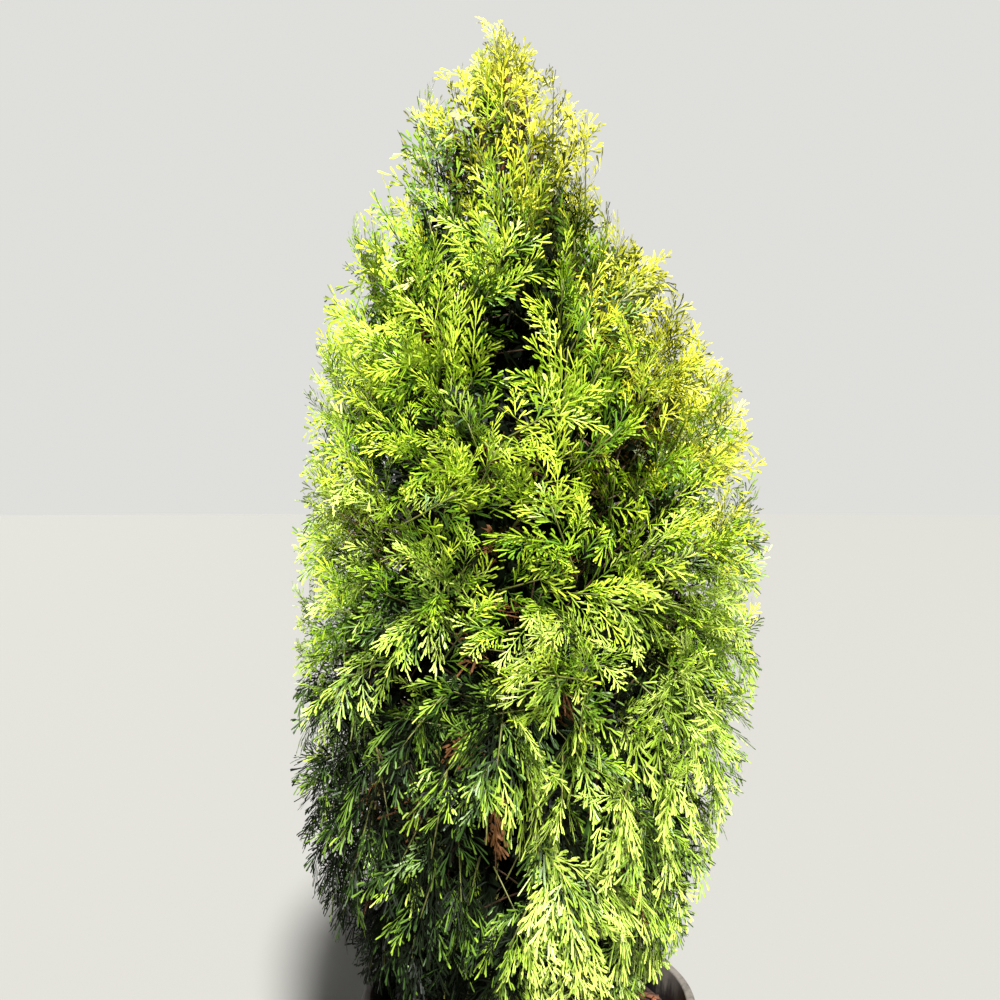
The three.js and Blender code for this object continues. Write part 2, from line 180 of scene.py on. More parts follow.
def pot_surface():
    """The profile turned about the pot's axis, with a window of cells left out for each drain opening and its
    edges joined from the outer wall to the inner one."""
    profile = pot_profile()
    rows = len(profile)
    turns = np.arange(POT_COLUMNS) * TAU / POT_COLUMNS
    points = np.stack([
        profile[:, :1] * np.cos(turns),
        profile[:, :1] * np.sin(turns),
        np.repeat(profile[:, 1:], POT_COLUMNS, 1),
    ], axis=-1).reshape(-1, 3)
    quads = ring_faces(rows, POT_COLUMNS)
    outer = int(np.flatnonzero(profile[:, 1] == DRAIN_LOW)[0])
    inner = int(np.flatnonzero(profile[:, 1] == DRAIN_HIGH)[-1])
    kept = np.ones((rows - 1, POT_COLUMNS), dtype=bool)
    sills, heads, jambs = [], [], []
    for opening in range(DRAIN_OPENINGS):
        first = int((opening + 0.5) * POT_COLUMNS / DRAIN_OPENINGS) - DRAIN_COLUMNS // 2
        across = np.arange(first, first + DRAIN_COLUMNS + 1)
        kept[outer, across[:-1]] = False
        kept[inner, across[:-1]] = False
        low_out, high_out = outer * POT_COLUMNS + across, (outer + 1) * POT_COLUMNS + across
        high_in, low_in = inner * POT_COLUMNS + across, (inner + 1) * POT_COLUMNS + across
        sills.append(np.stack([low_out[:-1], low_out[1:], low_in[1:], low_in[:-1]], axis=1))
        heads.append(np.stack([high_out[1:], high_out[:-1], high_in[:-1], high_in[1:]], axis=1))
        jambs.append([low_out[0], low_in[0], high_in[0], high_out[0]])
        jambs.append([low_out[-1], high_out[-1], high_in[-1], low_in[-1]])
    closers = []
    for row, flip in ((0, 1), (rows - 1, -1)):
        ring = row * POT_COLUMNS + np.arange(POT_COLUMNS)
        pole = np.full(POT_COLUMNS, len(points) + len(closers))
        closers.append(np.stack([pole, np.roll(ring, -1), ring], axis=1)[:, ::flip])
    poles = [[0, 0, 0], [0, 0, POT_FLOOR]]
    faces = [quads[kept], np.concatenate(sills), np.concatenate(heads), np.array(jambs), *closers]
    return np.concatenate([points, poles]), faces


# Black polypropylene, moulded: a satin skin, dull with dust round the lip and in streaks down the wall. The
# band round the lip is painted paler both as dust and as a painted highlight.
dusty_highlit_black_polypropylene, surface = new_material("dusty_highlit_black_polypropylene")
place = add_node(dusty_highlit_black_polypropylene, "ShaderNodeTexCoord", {}, {}).outputs["Object"]
height = add_node(dusty_highlit_black_polypropylene, "ShaderNodeSeparateXYZ", {}, {"Vector": place}).outputs["Z"]
streak_place = add_node(dusty_highlit_black_polypropylene, "ShaderNodeMapping", {}, {
    "Vector": place, "Scale": (1, 1, 0.12),
}).outputs["Vector"]
streaks = add_node(dusty_highlit_black_polypropylene, "ShaderNodeTexNoise", {}, {
    "Vector": streak_place, "Scale": 1 / (STREAK_WIDTH * MM), "Detail": 5, "Roughness": 0.65,
}).outputs["Fac"]
blotches = add_node(dusty_highlit_black_polypropylene, "ShaderNodeTexNoise", {}, {
    "Vector": place, "Scale": 1 / (BLOTCH_SIZE * MM), "Detail": 6, "Roughness": 0.7,
}).outputs["Fac"]
# Painted highlight and dust together: the pot is painted paler towards its lip, by height.
lip_dust_and_highlight = add_node(dusty_highlit_black_polypropylene, "ShaderNodeMapRange", {"interpolation_type": "SMOOTHSTEP"}, {
    "Value": height, "From Min": (POT_HEIGHT - LIP_DUST_AND_HIGHLIGHT) * MM, "From Max": POT_HEIGHT * MM,
    "To Min": 0.0, "To Max": 0.3,
}).outputs["Result"]
dust_and_highlight_amount = add_node(dusty_highlit_black_polypropylene, "ShaderNodeMath", {"operation": "MULTIPLY_ADD"}, {
    0: streaks, 1: blotches, 2: lip_dust_and_highlight,
}).outputs["Value"]
dust_and_highlight = add_node(dusty_highlit_black_polypropylene, "ShaderNodeMapRange", {"interpolation_type": "SMOOTHSTEP"}, {
    "Value": dust_and_highlight_amount, "From Min": 0.26, "From Max": 0.62, "To Min": 0.0, "To Max": 0.8,
}).outputs["Result"]
pot_colour = add_node(dusty_highlit_black_polypropylene, "ShaderNodeMix", {"data_type": "RGBA"}, {
    "Factor": dust_and_highlight, 6: linear("#17171a"), 7: linear("#7d766c"),
}).outputs[2]
pot_roughness = add_node(dusty_highlit_black_polypropylene, "ShaderNodeMapRange", {}, {
    "Value": dust_and_highlight, "From Min": 0.0, "From Max": 0.8, "To Min": 0.38, "To Max": 0.85,
}).outputs["Result"]
scuffs = add_node(dusty_highlit_black_polypropylene, "ShaderNodeTexNoise", {}, {
    "Vector": place, "Scale": 1 / (SCUFF_SIZE * MM), "Detail": 3,
}).outputs["Fac"]
pot_relief = add_node(dusty_highlit_black_polypropylene, "ShaderNodeBump", {}, {
    "Height": scuffs, "Strength": 0.25, "Distance": SCUFF_DEPTH * MM,
}).outputs["Normal"]
pot_skin = add_node(dusty_highlit_black_polypropylene, "ShaderNodeBsdfPrincipled", {}, {
    "Base Color": pot_colour, "Roughness": pot_roughness, "IOR": 1.49, "Normal": pot_relief,
}).outputs["BSDF"]
dusty_highlit_black_polypropylene.node_tree.links.new(pot_skin, surface.inputs["Surface"])

add_piece("pot_shell", *pot_surface(), dusty_highlit_black_polypropylene, "pot_plastic", ["pot"])


# The potting mix
# Composted bark with a mulch of bark chips on top, watered down a little towards the wall. The chips are
# split pieces of pine bark, orange where they are fresh and dark where they are wet.
MIX_DROP = 28
MIX_TOP = POT_HEIGHT - MIX_DROP
MIX_GAP = 0.4
MIX_SLUMP = 7
MIX_ROLL = 2.5
MIX_FLAT = POT_TOP_RADIUS * 0.35
MIX_FLAT_EDGE = 8
MIX_CLEAR = 2
MIX_FIRST_RING = 1
MIX_RINGS = 56
MIX_COLUMNS = 96
SINK_RADII = [0, MIX_FLAT, POT_TOP_RADIUS * 0.55, POT_TOP_RADIUS * 0.78, POT_TOP_RADIUS * 0.96]
SINKS = [0, 0, 3, 2, MIX_SLUMP]
MIX_ROLL_WAVES = [23, 19]
CRUMB_HEIGHT = 1.3
CRUMB_WAVES = [2.9, 3.3]
CRUMB_SHIFTS = [3, 2]
CRUMB_SHIFT_WAVES = [7, 9]
CRUMB_SINK = 0.6
CRUMB_SIZE = 4
CRUMB_DEPTH = 2
CHIP_SEED = 12
CHIPS = {"orange": 230, "brown": 420, "dark": 360}
CHIP_SHADES = {"orange": "#a4592c", "brown": "#6b4227", "dark": "#33211a"}
CHIP_LENGTHS = [7, 26]
CHIP_LENGTH_POWER = 0.9
CHIP_WIDTH_SHARES = [0.25, 0.6]
CHIP_THICKNESSES = [1.2, 3.4]
CHIP_CORNER_STRAYS = [-0.35, 0.2]
CHIP_TAPER = 0.3
CHIP_TILT = 0.16
CHIP_ROLL = 0.25
CHIP_SPREAD = [0.03, 0.83]
CHIP_RISE = 0.7
CHIP_GRAIN = 3.5
CHIP_GRAIN_DEPTH = 1


def mix_height(x, y):
    """The mix's top: flat under the trunk, then sinking to the wall, with a slow roll and a fine crumb,
    which are products of sines along both directions."""
    radius = np.hypot(x, y)
    sink = np.interp(radius, SINK_RADII, SINKS)
    away = np.clip((radius - MIX_FLAT) / MIX_FLAT_EDGE, 0, 1)
    roll = away * MIX_ROLL * np.sin(x / MIX_ROLL_WAVES[0]) * np.cos(y / MIX_ROLL_WAVES[1])
    crumb_x = np.sin(x / CRUMB_WAVES[0] + CRUMB_SHIFTS[0] * np.sin(y / CRUMB_SHIFT_WAVES[0]))
    crumb_y = np.sin(y / CRUMB_WAVES[1] + CRUMB_SHIFTS[1] * np.sin(x / CRUMB_SHIFT_WAVES[1]))
    return MIX_TOP - sink + roll + away * CRUMB_HEIGHT * (crumb_x * crumb_y - CRUMB_SINK)


def mix_surface():
    """Rings from the centre of the top out to the wall, down the wall and in again under the mix."""
    outer = pot_wall_radius(MIX_TOP - MIX_SLUMP) - POT_WALL - MIX_CLEAR
    top_radii = np.linspace(MIX_FIRST_RING, outer, MIX_RINGS)
    turns = np.arange(MIX_COLUMNS) * TAU / MIX_COLUMNS
    x, y = top_radii[:, None] * np.cos(turns), top_radii[:, None] * np.sin(turns)
    top = np.stack([x, y, mix_height(x, y)], axis=-1)
    foot = POT_FLOOR + MIX_GAP
    foot_radius = pot_wall_radius(foot) - POT_WALL - MIX_CLEAR
    under = np.stack([
        foot_radius * np.cos(turns), foot_radius * np.sin(turns), np.full(MIX_COLUMNS, foot),
    ], axis=-1)
    rings = np.concatenate([top, under[None]])
    points = np.concatenate([rings.reshape(-1, 3), [[0, 0, MIX_TOP], [0, 0, foot]]])
    first = np.arange(MIX_COLUMNS)
    last = (len(rings) - 1) * MIX_COLUMNS + first
    lid = np.stack([np.full(MIX_COLUMNS, len(points) - 2), first, np.roll(first, -1)], axis=1)
    base = np.stack([np.full(MIX_COLUMNS, len(points) - 1), np.roll(last, -1), last], axis=1)
    quads = ring_faces(len(rings), MIX_COLUMNS)[..., ::-1].reshape(-1, 4)
    return points, [quads, lid, base]


def chip_pieces(count, random):
    """Split chips: boxes whose eight corners are drawn in towards one end and moved a little at random,
    each laid nearly flat on the mix."""
    corners = np.array([[i, j, k] for i in (-1, 1) for j in (-1, 1) for k in (-1, 1)], dtype=float)
    sides = np.array([[0, 1, 3, 2], [4, 6, 7, 5], [0, 4, 5, 1], [2, 3, 7, 6], [0, 2, 6, 4], [1, 5, 7, 3]])
    length = random.uniform(*CHIP_LENGTHS, count) ** CHIP_LENGTH_POWER
    width = length * random.uniform(*CHIP_WIDTH_SHARES, count)
    size = np.stack([length, width, random.uniform(*CHIP_THICKNESSES, count)], axis=1) / 2
    shape = corners * (1 + random.uniform(*CHIP_CORNER_STRAYS, (count, 8, 3)))
    shape[:, :, 1] *= 1 - CHIP_TAPER * corners[:, 0]
    shape = shape * size[:, None, :]
    turn = random.uniform(0, TAU, count)
    tilt = random.normal(0, CHIP_TILT, count)
    roll = random.normal(0, CHIP_ROLL, count)
    along = np.stack([np.cos(turn) * np.cos(tilt), np.sin(turn) * np.cos(tilt), np.sin(tilt)], axis=1)
    level = np.stack([-np.sin(turn), np.cos(turn), np.zeros(count)], axis=1)
    upright = np.cross(along, level)
    across = level * np.cos(roll)[:, None] + upright * np.sin(roll)[:, None]
    upwards = np.cross(along, across)
    radius = np.sqrt(random.uniform(*CHIP_SPREAD, count)) * POT_TOP_RADIUS
    place = random.uniform(0, TAU, count)
    x, y = radius * np.cos(place), radius * np.sin(place)
    centre = np.stack([x, y, mix_height(x, y) + size[:, 2] * CHIP_RISE], axis=1)
    axes = np.stack([along, across, upwards], axis=1)
    points = centre[:, None, :] + shape @ axes
    faces = sides[None] + 8 * np.arange(count)[:, None, None]
    return points.reshape(-1, 3), [faces.reshape(-1, 4)]


# Composted bark, damp: a matt dark brown crumb with paler fibres.
damp_compost, surface = new_material("damp_compost")
place = add_node(damp_compost, "ShaderNodeTexCoord", {}, {}).outputs["Object"]
crumbs = add_node(damp_compost, "ShaderNodeTexNoise", {}, {
    "Vector": place, "Scale": 1 / (CRUMB_SIZE * MM), "Detail": 6, "Roughness": 0.7,
}).outputs["Fac"]
crumb_share = add_node(damp_compost, "ShaderNodeMapRange", {}, {
    "Value": crumbs, "From Min": 0.35, "From Max": 0.7,
}).outputs["Result"]
compost_colour = add_node(damp_compost, "ShaderNodeMix", {"data_type": "RGBA"}, {
    "Factor": crumb_share, 6: linear("#1d130d"), 7: linear("#5b3d28"),
}).outputs[2]
compost_relief = add_node(damp_compost, "ShaderNodeBump", {}, {
    "Height": crumbs, "Strength": 1.0, "Distance": CRUMB_DEPTH * MM,
}).outputs["Normal"]
compost_skin = add_node(damp_compost, "ShaderNodeBsdfPrincipled", {}, {
    "Base Color": compost_colour, "Roughness": 0.92, "Normal": compost_relief,
}).outputs["BSDF"]
damp_compost.node_tree.links.new(compost_skin, surface.inputs["Surface"])

add_piece("mix_top", *mix_surface(), damp_compost, "potting_mix", ["potting_mix"])
chip_random = np.random.default_rng(CHIP_SEED)
for shade, count in CHIPS.items():
    # Pine bark, split: dull corky plates whose layered grain is drawn a little coarser than life, to show.
    bark_chip, surface = new_material(f"split_pine_bark_{shade}")
    place = add_node(bark_chip, "ShaderNodeTexCoord", {}, {}).outputs["Object"]
    layers = add_node(bark_chip, "ShaderNodeTexNoise", {}, {
        "Vector": place, "Scale": 1 / (CHIP_GRAIN * MM), "Detail": 4, "Roughness": 0.6,
    }).outputs["Fac"]
    chip_relief = add_node(bark_chip, "ShaderNodeBump", {}, {
        "Height": layers, "Strength": 0.8, "Distance": CHIP_GRAIN_DEPTH * MM,
    }).outputs["Normal"]
    chip_skin = add_node(bark_chip, "ShaderNodeBsdfPrincipled", {}, {
        "Base Color": linear(CHIP_SHADES[shade]), "Roughness": 0.88, "Normal": chip_relief,
    }).outputs["BSDF"]
    bark_chip.node_tree.links.new(chip_skin, surface.inputs["Surface"])
    chips = chip_pieces(count, chip_random)
    add_piece(f"bark_chips_{shade}", *chips, bark_chip, "potting_mix", ["potting_mix"])


# The trunk
# One leader that runs whole from the mix to its tip, leaning and bowed, with a flared foot. Its bark is
# thin and fibrous, red-brown, and comes away in narrow upright strips.
TRUNK_CLEAR = 0.3
TREE_TOP = 1352
TRUNK_TIP = 1222
TRUNK_FOOT_X = -19
TRUNK_LEAN_X = -18
TRUNK_BOW_X = 14
TRUNK_BOW_Y = 6
TRUNK_RADIUS = 15
TRUNK_TIP_RADIUS = 2.6
FLARE_RADIUS = 11
FLARE_HEIGHT = 26
TAPER_POWER = 0.85
RIDGES = 3
RIDGE_DEPTH = 0.07
RIDGE_TWIST = 45
FLAT_FOOT = 12
FULL_RELIEF_RADIUS = 9
LEAST_RELIEF = 0.3
TRUNK_COLUMNS = 60
TRUNK_ROWS = 220
TRUNK_ROW_POWER = 1.35
TRUNK_FIBRES = (12, 22, 34)
FIBRE_RELIEF = 0.55
FIBRE_WANDERS = (19, 31, 47)
FIBRE_SWAYS = [1.6, 0.9]
SHORT_WANDER = 0.37
TRUNK_SEED = 3
BARK_STRIP_WIDTH = 3
BARK_PATCH = 30
BARK_DEPTH = 1.2


def mix(a, b, share):
    """The value that lies a share of the way from a to b."""
    return a + (b - a) * share


def unit(vectors):
    """Each vector made one long."""
    return vectors / np.linalg.norm(vectors, axis=-1, keepdims=True)


def axis_at(z):
    """The trunk's centre line: a lean, a sideways bow of half a sine and a forward one of a whole sine."""
    z = np.asarray(z, dtype=float)
    share = (z - MIX_TOP) / (TREE_TOP - MIX_TOP)
    x = TRUNK_FOOT_X + TRUNK_LEAN_X * share + TRUNK_BOW_X * np.sin(math.pi * share)
    return np.stack([x, TRUNK_BOW_Y * np.sin(TAU * share), z], axis=-1)


def trunk_radius(z):
    """A taper, a little quicker low down, plus a flare that dies away upwards."""
    share = np.clip((z - MIX_TOP) / (TRUNK_TIP - MIX_TOP), 0, 1)
    taper = mix(TRUNK_RADIUS, TRUNK_TIP_RADIUS, share ** TAPER_POWER)
    return taper + FLARE_RADIUS * np.exp(-(z - MIX_TOP) / FLARE_HEIGHT)


def fibres(turn, along, strips, random):
    """Bark relief from -1 to 1: sharp-crested waves round the limb, whose place wanders slowly along it."""
    relief = np.zeros(np.broadcast(turn, along).shape)
    for strip_count, wander in zip(strips, FIBRE_WANDERS):
        phase = random.uniform(0, TAU, 3)
        shift = (FIBRE_SWAYS[0] * np.sin(along / wander + phase[0])
                 + FIBRE_SWAYS[1] * np.sin(along / (wander * SHORT_WANDER) + phase[1]))
        relief += 1 - 2 * np.abs(np.sin(strip_count * turn / 2 + shift + phase[2]))
    return relief / len(strips)


def capped_ring_faces(rows, columns, foot_pole, tip_pole):
    """The quads of a tube and the triangles that close its two ends onto their poles."""
    quads = ring_faces(rows, columns).reshape(-1, 4)
    first = np.arange(columns)
    last = (rows - 1) * columns + first
    foot = np.stack([np.full(columns, foot_pole), np.roll(first, -1), first], axis=1)
    tip = np.stack([np.full(columns, tip_pole), last, np.roll(last, -1)], axis=1)
    return [quads, foot, tip]


def trunk_surface():
    """Level rings round the centre line, with slow ridges that twist upwards and the bark's fibres."""
    foot = MIX_TOP + TRUNK_CLEAR
    z = mix(foot, TRUNK_TIP, np.linspace(0, 1, TRUNK_ROWS) ** TRUNK_ROW_POWER)[:, None]
    turn = (np.arange(TRUNK_COLUMNS) * TAU / TRUNK_COLUMNS)[None, :]
    ridges = 1 + RIDGE_DEPTH * np.sin(RIDGES * turn + z / RIDGE_TWIST)
    relief = FIBRE_RELIEF * fibres(turn, z, TRUNK_FIBRES, np.random.default_rng(TRUNK_SEED))
    flat_foot = np.clip((z - foot) / FLAT_FOOT, 0, 1)
    fade = np.clip(trunk_radius(z) / FULL_RELIEF_RADIUS, LEAST_RELIEF, 1)
    radius = trunk_radius(z) * ridges + relief * flat_foot * fade
    centre = axis_at(z)
    points = np.stack([
        centre[..., 0] + radius * np.cos(turn), centre[..., 1] + radius * np.sin(turn), z + 0 * turn,
    ], axis=-1).reshape(-1, 3)
    poles = [axis_at(foot), axis_at(TRUNK_TIP)]
    faces = capped_ring_faces(TRUNK_ROWS, TRUNK_COLUMNS, len(points), len(points) + 1)
    return np.concatenate([points, poles]), faces


# Thuja bark: dry fibres in grey-brown and fresh orange, with dark furrows between the strips.
fibrous_bark, surface = new_material("fibrous_red_brown_bark")
place = add_node(fibrous_bark, "ShaderNodeTexCoord", {}, {}).outputs["Object"]
strip_place = add_node(fibrous_bark, "ShaderNodeMapping", {}, {
    "Vector": place, "Scale": (1, 1, 0.07),
}).outputs["Vector"]
strip_noise = add_node(fibrous_bark, "ShaderNodeTexNoise", {}, {
    "Vector": strip_place, "Scale": 1 / (BARK_STRIP_WIDTH * MM), "Detail": 6, "Roughness": 0.62,
}).outputs["Fac"]
patch_noise = add_node(fibrous_bark, "ShaderNodeTexNoise", {}, {
    "Vector": place, "Scale": 1 / (BARK_PATCH * MM), "Detail": 3,
}).outputs["Fac"]
fresh_share = add_node(fibrous_bark, "ShaderNodeMapRange", {"interpolation_type": "SMOOTHSTEP"}, {
    "Value": patch_noise, "From Min": 0.42, "From Max": 0.6,
}).outputs["Result"]
ridge_share = add_node(fibrous_bark, "ShaderNodeMapRange", {}, {
    "Value": strip_noise, "From Min": 0.38, "From Max": 0.62,
}).outputs["Result"]
ridge_colour = add_node(fibrous_bark, "ShaderNodeMix", {"data_type": "RGBA"}, {
    "Factor": fresh_share, 6: linear("#7b5a44"), 7: linear("#b0602f"),
}).outputs[2]
bark_colour = add_node(fibrous_bark, "ShaderNodeMix", {"data_type": "RGBA"}, {
    "Factor": ridge_share, 6: linear("#2e1a12"), 7: ridge_colour,
}).outputs[2]
bark_relief = add_node(fibrous_bark, "ShaderNodeBump", {}, {
    "Height": strip_noise, "Strength": 0.8, "Distance": BARK_DEPTH * MM,
}).outputs["Normal"]
bark_skin = add_node(fibrous_bark, "ShaderNodeBsdfPrincipled", {}, {
    "Base Color": bark_colour, "Roughness": 0.86, "Normal": bark_relief,
}).outputs["BSDF"]
fibrous_bark.node_tree.links.new(bark_skin, surface.inputs["Surface"])

add_piece("trunk_bark", *trunk_surface(), fibrous_bark, "bark", ["trunk"])


# The boughs
# Tapering limbs that leave the trunk in five tiers and rise to the foot of each foliage mass. They are live
# wood under the same fibrous bark. Each mass has its own space: a sector of its tier, between two slanting
# surfaces.
CROWN_FOOT = 304
CROWN_RADIUS = 252
CROWN_SWELL_X = 19
WIDEST_SHARE = 0.45
TOP_ROUNDING = 2
FOOT_ROUNDING = 4.5
FOOT_TUCK = 0.5
LEADER_REACH = 16
NOTCH_HEIGHT = 1140
NOTCH_DEPTH = 50
NOTCH_SPAN = 42
# The heights of the surfaces under, between and over the tiers, at the centre line and at the crown's
# radius from it.
SURFACES = [(326, 302), (430, 560), (585, 800), (775, 1030), (965, 1255), (1226, 1560)]
# Each tier's masses, the turn of the first one in degrees, and the radius of their inner faces and of their
# boughs.
TIERS = [
    {"name": "skirt", "masses": 6, "turn": -2, "inner": 58, "bough": 5.4},
    {"name": "lower", "masses": 5, "turn": -18, "inner": 50, "bough": 5.2},
    {"name": "middle", "masses": 5, "turn": 18, "inner": 42, "bough": 4.6},
    {"name": "upper", "masses": 4, "turn": -40, "inner": 30, "bough": 3.8},
    {"name": "crown", "masses": 3, "turn": 180, "inner": 18, "bough": 2.8},
]
BOUGH_ROOT_SHARE = 1.15
BOUGH_TIP_SHARE = 0.72
STEM_TIP_SHARE = 0.36
BOUGH_DROP = 0.7
BOUGH_STAGGER = 0.3
BOUGH_ELBOW = 0.4
BOUGH_ROWS = 30
BOUGH_COLUMNS = 16
BOUGH_FIBRES = (6, 9, 13)
BOUGH_FIBRE_LENGTH = 90
BOUGH_RELIEF = 0.09
STEM_PLACES = [(-0.28, 0.04), (-0.1, 0.55), (0.6, 0.5)]
LEAST_DEPTH = 8
PLACE_ROUNDS = 6
UPRIGHT_GUIDE = [1e-3, 2e-3, 0]
BOUGH_SEED = 5


def crown_reach(z, turn):
    """How far the crown reaches from the centre line: a rounded foot, a slow taper above the widest level,
    a swell to one side and a notch under the leader."""
    share = np.clip((z - CROWN_FOOT) / (TREE_TOP - CROWN_FOOT), 0, 1)
    above = np.clip((share - WIDEST_SHARE) / (1 - WIDEST_SHARE), 0, 1)
    below = np.clip((WIDEST_SHARE - share) / WIDEST_SHARE, 0, 1)
    shape = 1 - above ** TOP_ROUNDING - FOOT_TUCK * below ** FOOT_ROUNDING
    swell = CROWN_SWELL_X * np.sin(math.pi * share) * np.cos(turn)
    facing = np.clip(np.cos(turn), 0, 1) ** 2
    notch = NOTCH_DEPTH * facing * np.exp(-(((z - NOTCH_HEIGHT) / NOTCH_SPAN) ** 2))
    return np.maximum(LEADER_REACH, CROWN_RADIUS * shape + swell - notch)


def surface_at(level, radius):
    """The height of a slanting surface between two tiers, at a radius."""
    return mix(SURFACES[level][0], SURFACES[level][1], radius / CROWN_RADIUS)


def from_axis(radius, turn, z):
    """A place at a radius and a turn about the centre line."""
    level = [radius * np.cos(turn), radius * np.sin(turn), 0 * (radius + turn + z)]
    return axis_at(z) + np.stack(level, axis=-1)


def about_axis(points):
    """The radius and the turn of places about the centre line."""
    offset = points - axis_at(points[..., 2])
    return np.hypot(offset[..., 0], offset[..., 1]), np.arctan2(offset[..., 1], offset[..., 0])


def place_in(mass, across, up, out):
    """A place in a mass's space from shares: across and up from -1 to 1, and outwards from 0 to 1. Its
    height and its radius depend on each other, so they are worked out in turn a few times."""
    tier = TIERS[mass["tier"]]
    across, up, out = np.broadcast_arrays(across, up, out)
    turn = mass["middle"] + across * mass["half"]
    radius = np.full(turn.shape, float(tier["inner"]))
    for _ in range(PLACE_ROUNDS):
        z = mix(surface_at(mass["tier"], radius), surface_at(mass["tier"] + 1, radius), (up + 1) / 2)
        radius = mix(tier["inner"], np.maximum(tier["inner"] + LEAST_DEPTH, crown_reach(z, turn)), out)
    return from_axis(radius, turn, z)


def stem_of(mass):
    """A mass's stem is a quadratic Bezier curve from near its space's inner face up towards its top."""
    return np.stack([place_in(mass, 0, up, out) for up, out in STEM_PLACES])


def bough_of(mass):
    """A bough is a quadratic Bezier curve from the centre line to the stem's foot, in line with the stem.
    The boughs of a tier leave the trunk at three different distances below their tips."""
    tier = TIERS[mass["tier"]]
    along = unit(mass["stem"][1] - mass["stem"][0])
    tip = mass["stem"][0]
    root = axis_at(tip[2] - tier["inner"] * (BOUGH_DROP + BOUGH_STAGGER * (mass["index"] % 3)))
    return np.stack([root, tip - along * tier["inner"] * BOUGH_ELBOW, tip])


def along_curve(controls, share):
    """Points on quadratic Bezier curves: (1-t)^2 of control one, 2t(1-t) of two, t^2 of three."""
    t = np.asarray(share)[..., None]
    first, second, third = (controls[..., i, :] for i in range(3))
    return (1 - t) ** 2 * first + 2 * t * (1 - t) * second + t ** 2 * third


def limbs(paths, radii, columns):
    """Closed tapering tubes along paths, all with as many rows and columns: rings square to each path,
    guided by the level line across it, and a pole at each end. A small fixed step gives an upright limb such
    a line too. Relief may be given as a radius for every point of a ring."""
    count, rows = paths.shape[:2]
    tangent = unit(np.gradient(paths, axis=1))
    chord = paths[:, -1] - paths[:, 0]
    level = np.stack([-chord[:, 1], chord[:, 0], 0 * chord[:, 0]], axis=1) + UPRIGHT_GUIDE
    level = np.broadcast_to(unit(level)[:, None, :], tangent.shape)
    side = unit(level - (level * tangent).sum(-1, keepdims=True) * tangent)
    third = np.cross(tangent, side)
    turns = np.arange(columns) * TAU / columns
    spokes = side[:, :, None] * np.cos(turns)[:, None] + third[:, :, None] * np.sin(turns)[:, None]
    radii = radii if radii.ndim == 3 else radii[:, :, None]
    rings = paths[:, :, None] + spokes * radii[..., None]
    points = np.concatenate([rings.reshape(count, -1, 3), paths[:, :1], paths[:, -1:]], axis=1)
    shift = (np.arange(count) * points.shape[1])[:, None, None]
    parts = capped_ring_faces(rows, columns, rows * columns, rows * columns + 1)
    return points.reshape(-1, 3), [(part[None] + shift).reshape(-1, part.shape[1]) for part in parts]


def joined(surfaces):
    """Several surfaces as one: their points in a row, and their faces moved on by the points before them."""
    shifts = np.cumsum([0] + [len(points) for points, _ in surfaces])
    faces = [part + shift for (_, parts), shift in zip(surfaces, shifts) for part in parts]
    return np.concatenate([points for points, _ in surfaces]), faces


MASSES = []
for number, tier in enumerate(TIERS):
    for index in range(tier["masses"]):
        mass = {"tier": number, "index": index, "half": math.pi / tier["masses"]}
        mass["middle"] = math.radians(tier["turn"]) + index * TAU / tier["masses"]
        mass["stem"] = stem_of(mass)
        mass["bough"] = bough_of(mass)
        MASSES.append(mass)


def bough_surfaces():
    """Each bough as a round tube whose radius tapers and carries the bark's fibres."""
    random = np.random.default_rng(BOUGH_SEED)
    share = np.linspace(0, 1, BOUGH_ROWS)
    turn = (np.arange(BOUGH_COLUMNS) * TAU / BOUGH_COLUMNS)[None, :]
    made = []
    for mass in MASSES:
        path = along_curve(mass["bough"], share)
        thick = TIERS[mass["tier"]]["bough"] * mix(BOUGH_ROOT_SHARE, BOUGH_TIP_SHARE, share)[:, None]
        grain = fibres(turn, share[:, None] * BOUGH_FIBRE_LENGTH, BOUGH_FIBRES, random)
        relief = BOUGH_RELIEF * thick * grain
        made.append(limbs(path[None], (thick + relief)[None], BOUGH_COLUMNS))
    return joined(made)


bough_nodes = [f"bough_{tier['name']}_{index + 1}" for tier in TIERS for index in range(tier["masses"])]
add_piece("boughs_bark", *bough_surfaces(), fibrous_bark, "bark", bough_nodes)


# The shoots
# Each mass's stem carries thin woody twigs, and each twig ends in a green shoot with flat fronds in two
# ranks. High up the shoots stand, and near the foot they hang. Fronds further in are old and dull and
# carry painted shade, a few are dry and brown, and the innermost fill the core with near-black painted shade.
PAGE_HEIGHTS = [500, 860]
PAGES_IN_FIVE = [1, 3]
# Each layer's patch of a mass's face for one shoot, its share of the crown's reach, and its shoots' length
# and painted shade.
SHOOT_LAYERS = [
    {"name": "skin", "area": 2500, "out": 1.0, "length": 98, "shade": 0.0},
    {"name": "under", "area": 4800, "out": 0.82, "length": 104, "shade": 0.58},
    {"name": "inner", "area": 5500, "out": 0.6, "length": 104, "shade": 0.9},
    {"name": "heart", "area": 12500, "out": 0.34, "length": 92, "shade": 0.9},
]
COMBS_BELOW = 690
FORKS_ABOVE = 1150
KIND_BLUR = 60
DRY_SHARE = 0.09
ACROSS_SHIFTS = 7
SHOOT_SIZES = [1, 0.85, 0.7, 0.55]
SHOOT_REACH = 0.96
SHOOT_SET_BACK = 0.14
SHOOT_GROWTHS = [0.9, 1.08]
SHOOT_CURL = 0.12
PAGE_SLANT = 0.5
PAGE_OUTWARDS = 0.85
SHINGLE_SLANT = 0.85
SHINGLE_OUTWARDS = 0.45
HANGING_SLANT = 0.7
RISE_STRAY = 0.28
PLANE_STRAY = 0.45
LIFT_HEIGHTS = [320, 520, 700, 950, 1200]
LIFTS = [-1.1, -0.55, 0.05, 0.75, 1.3]
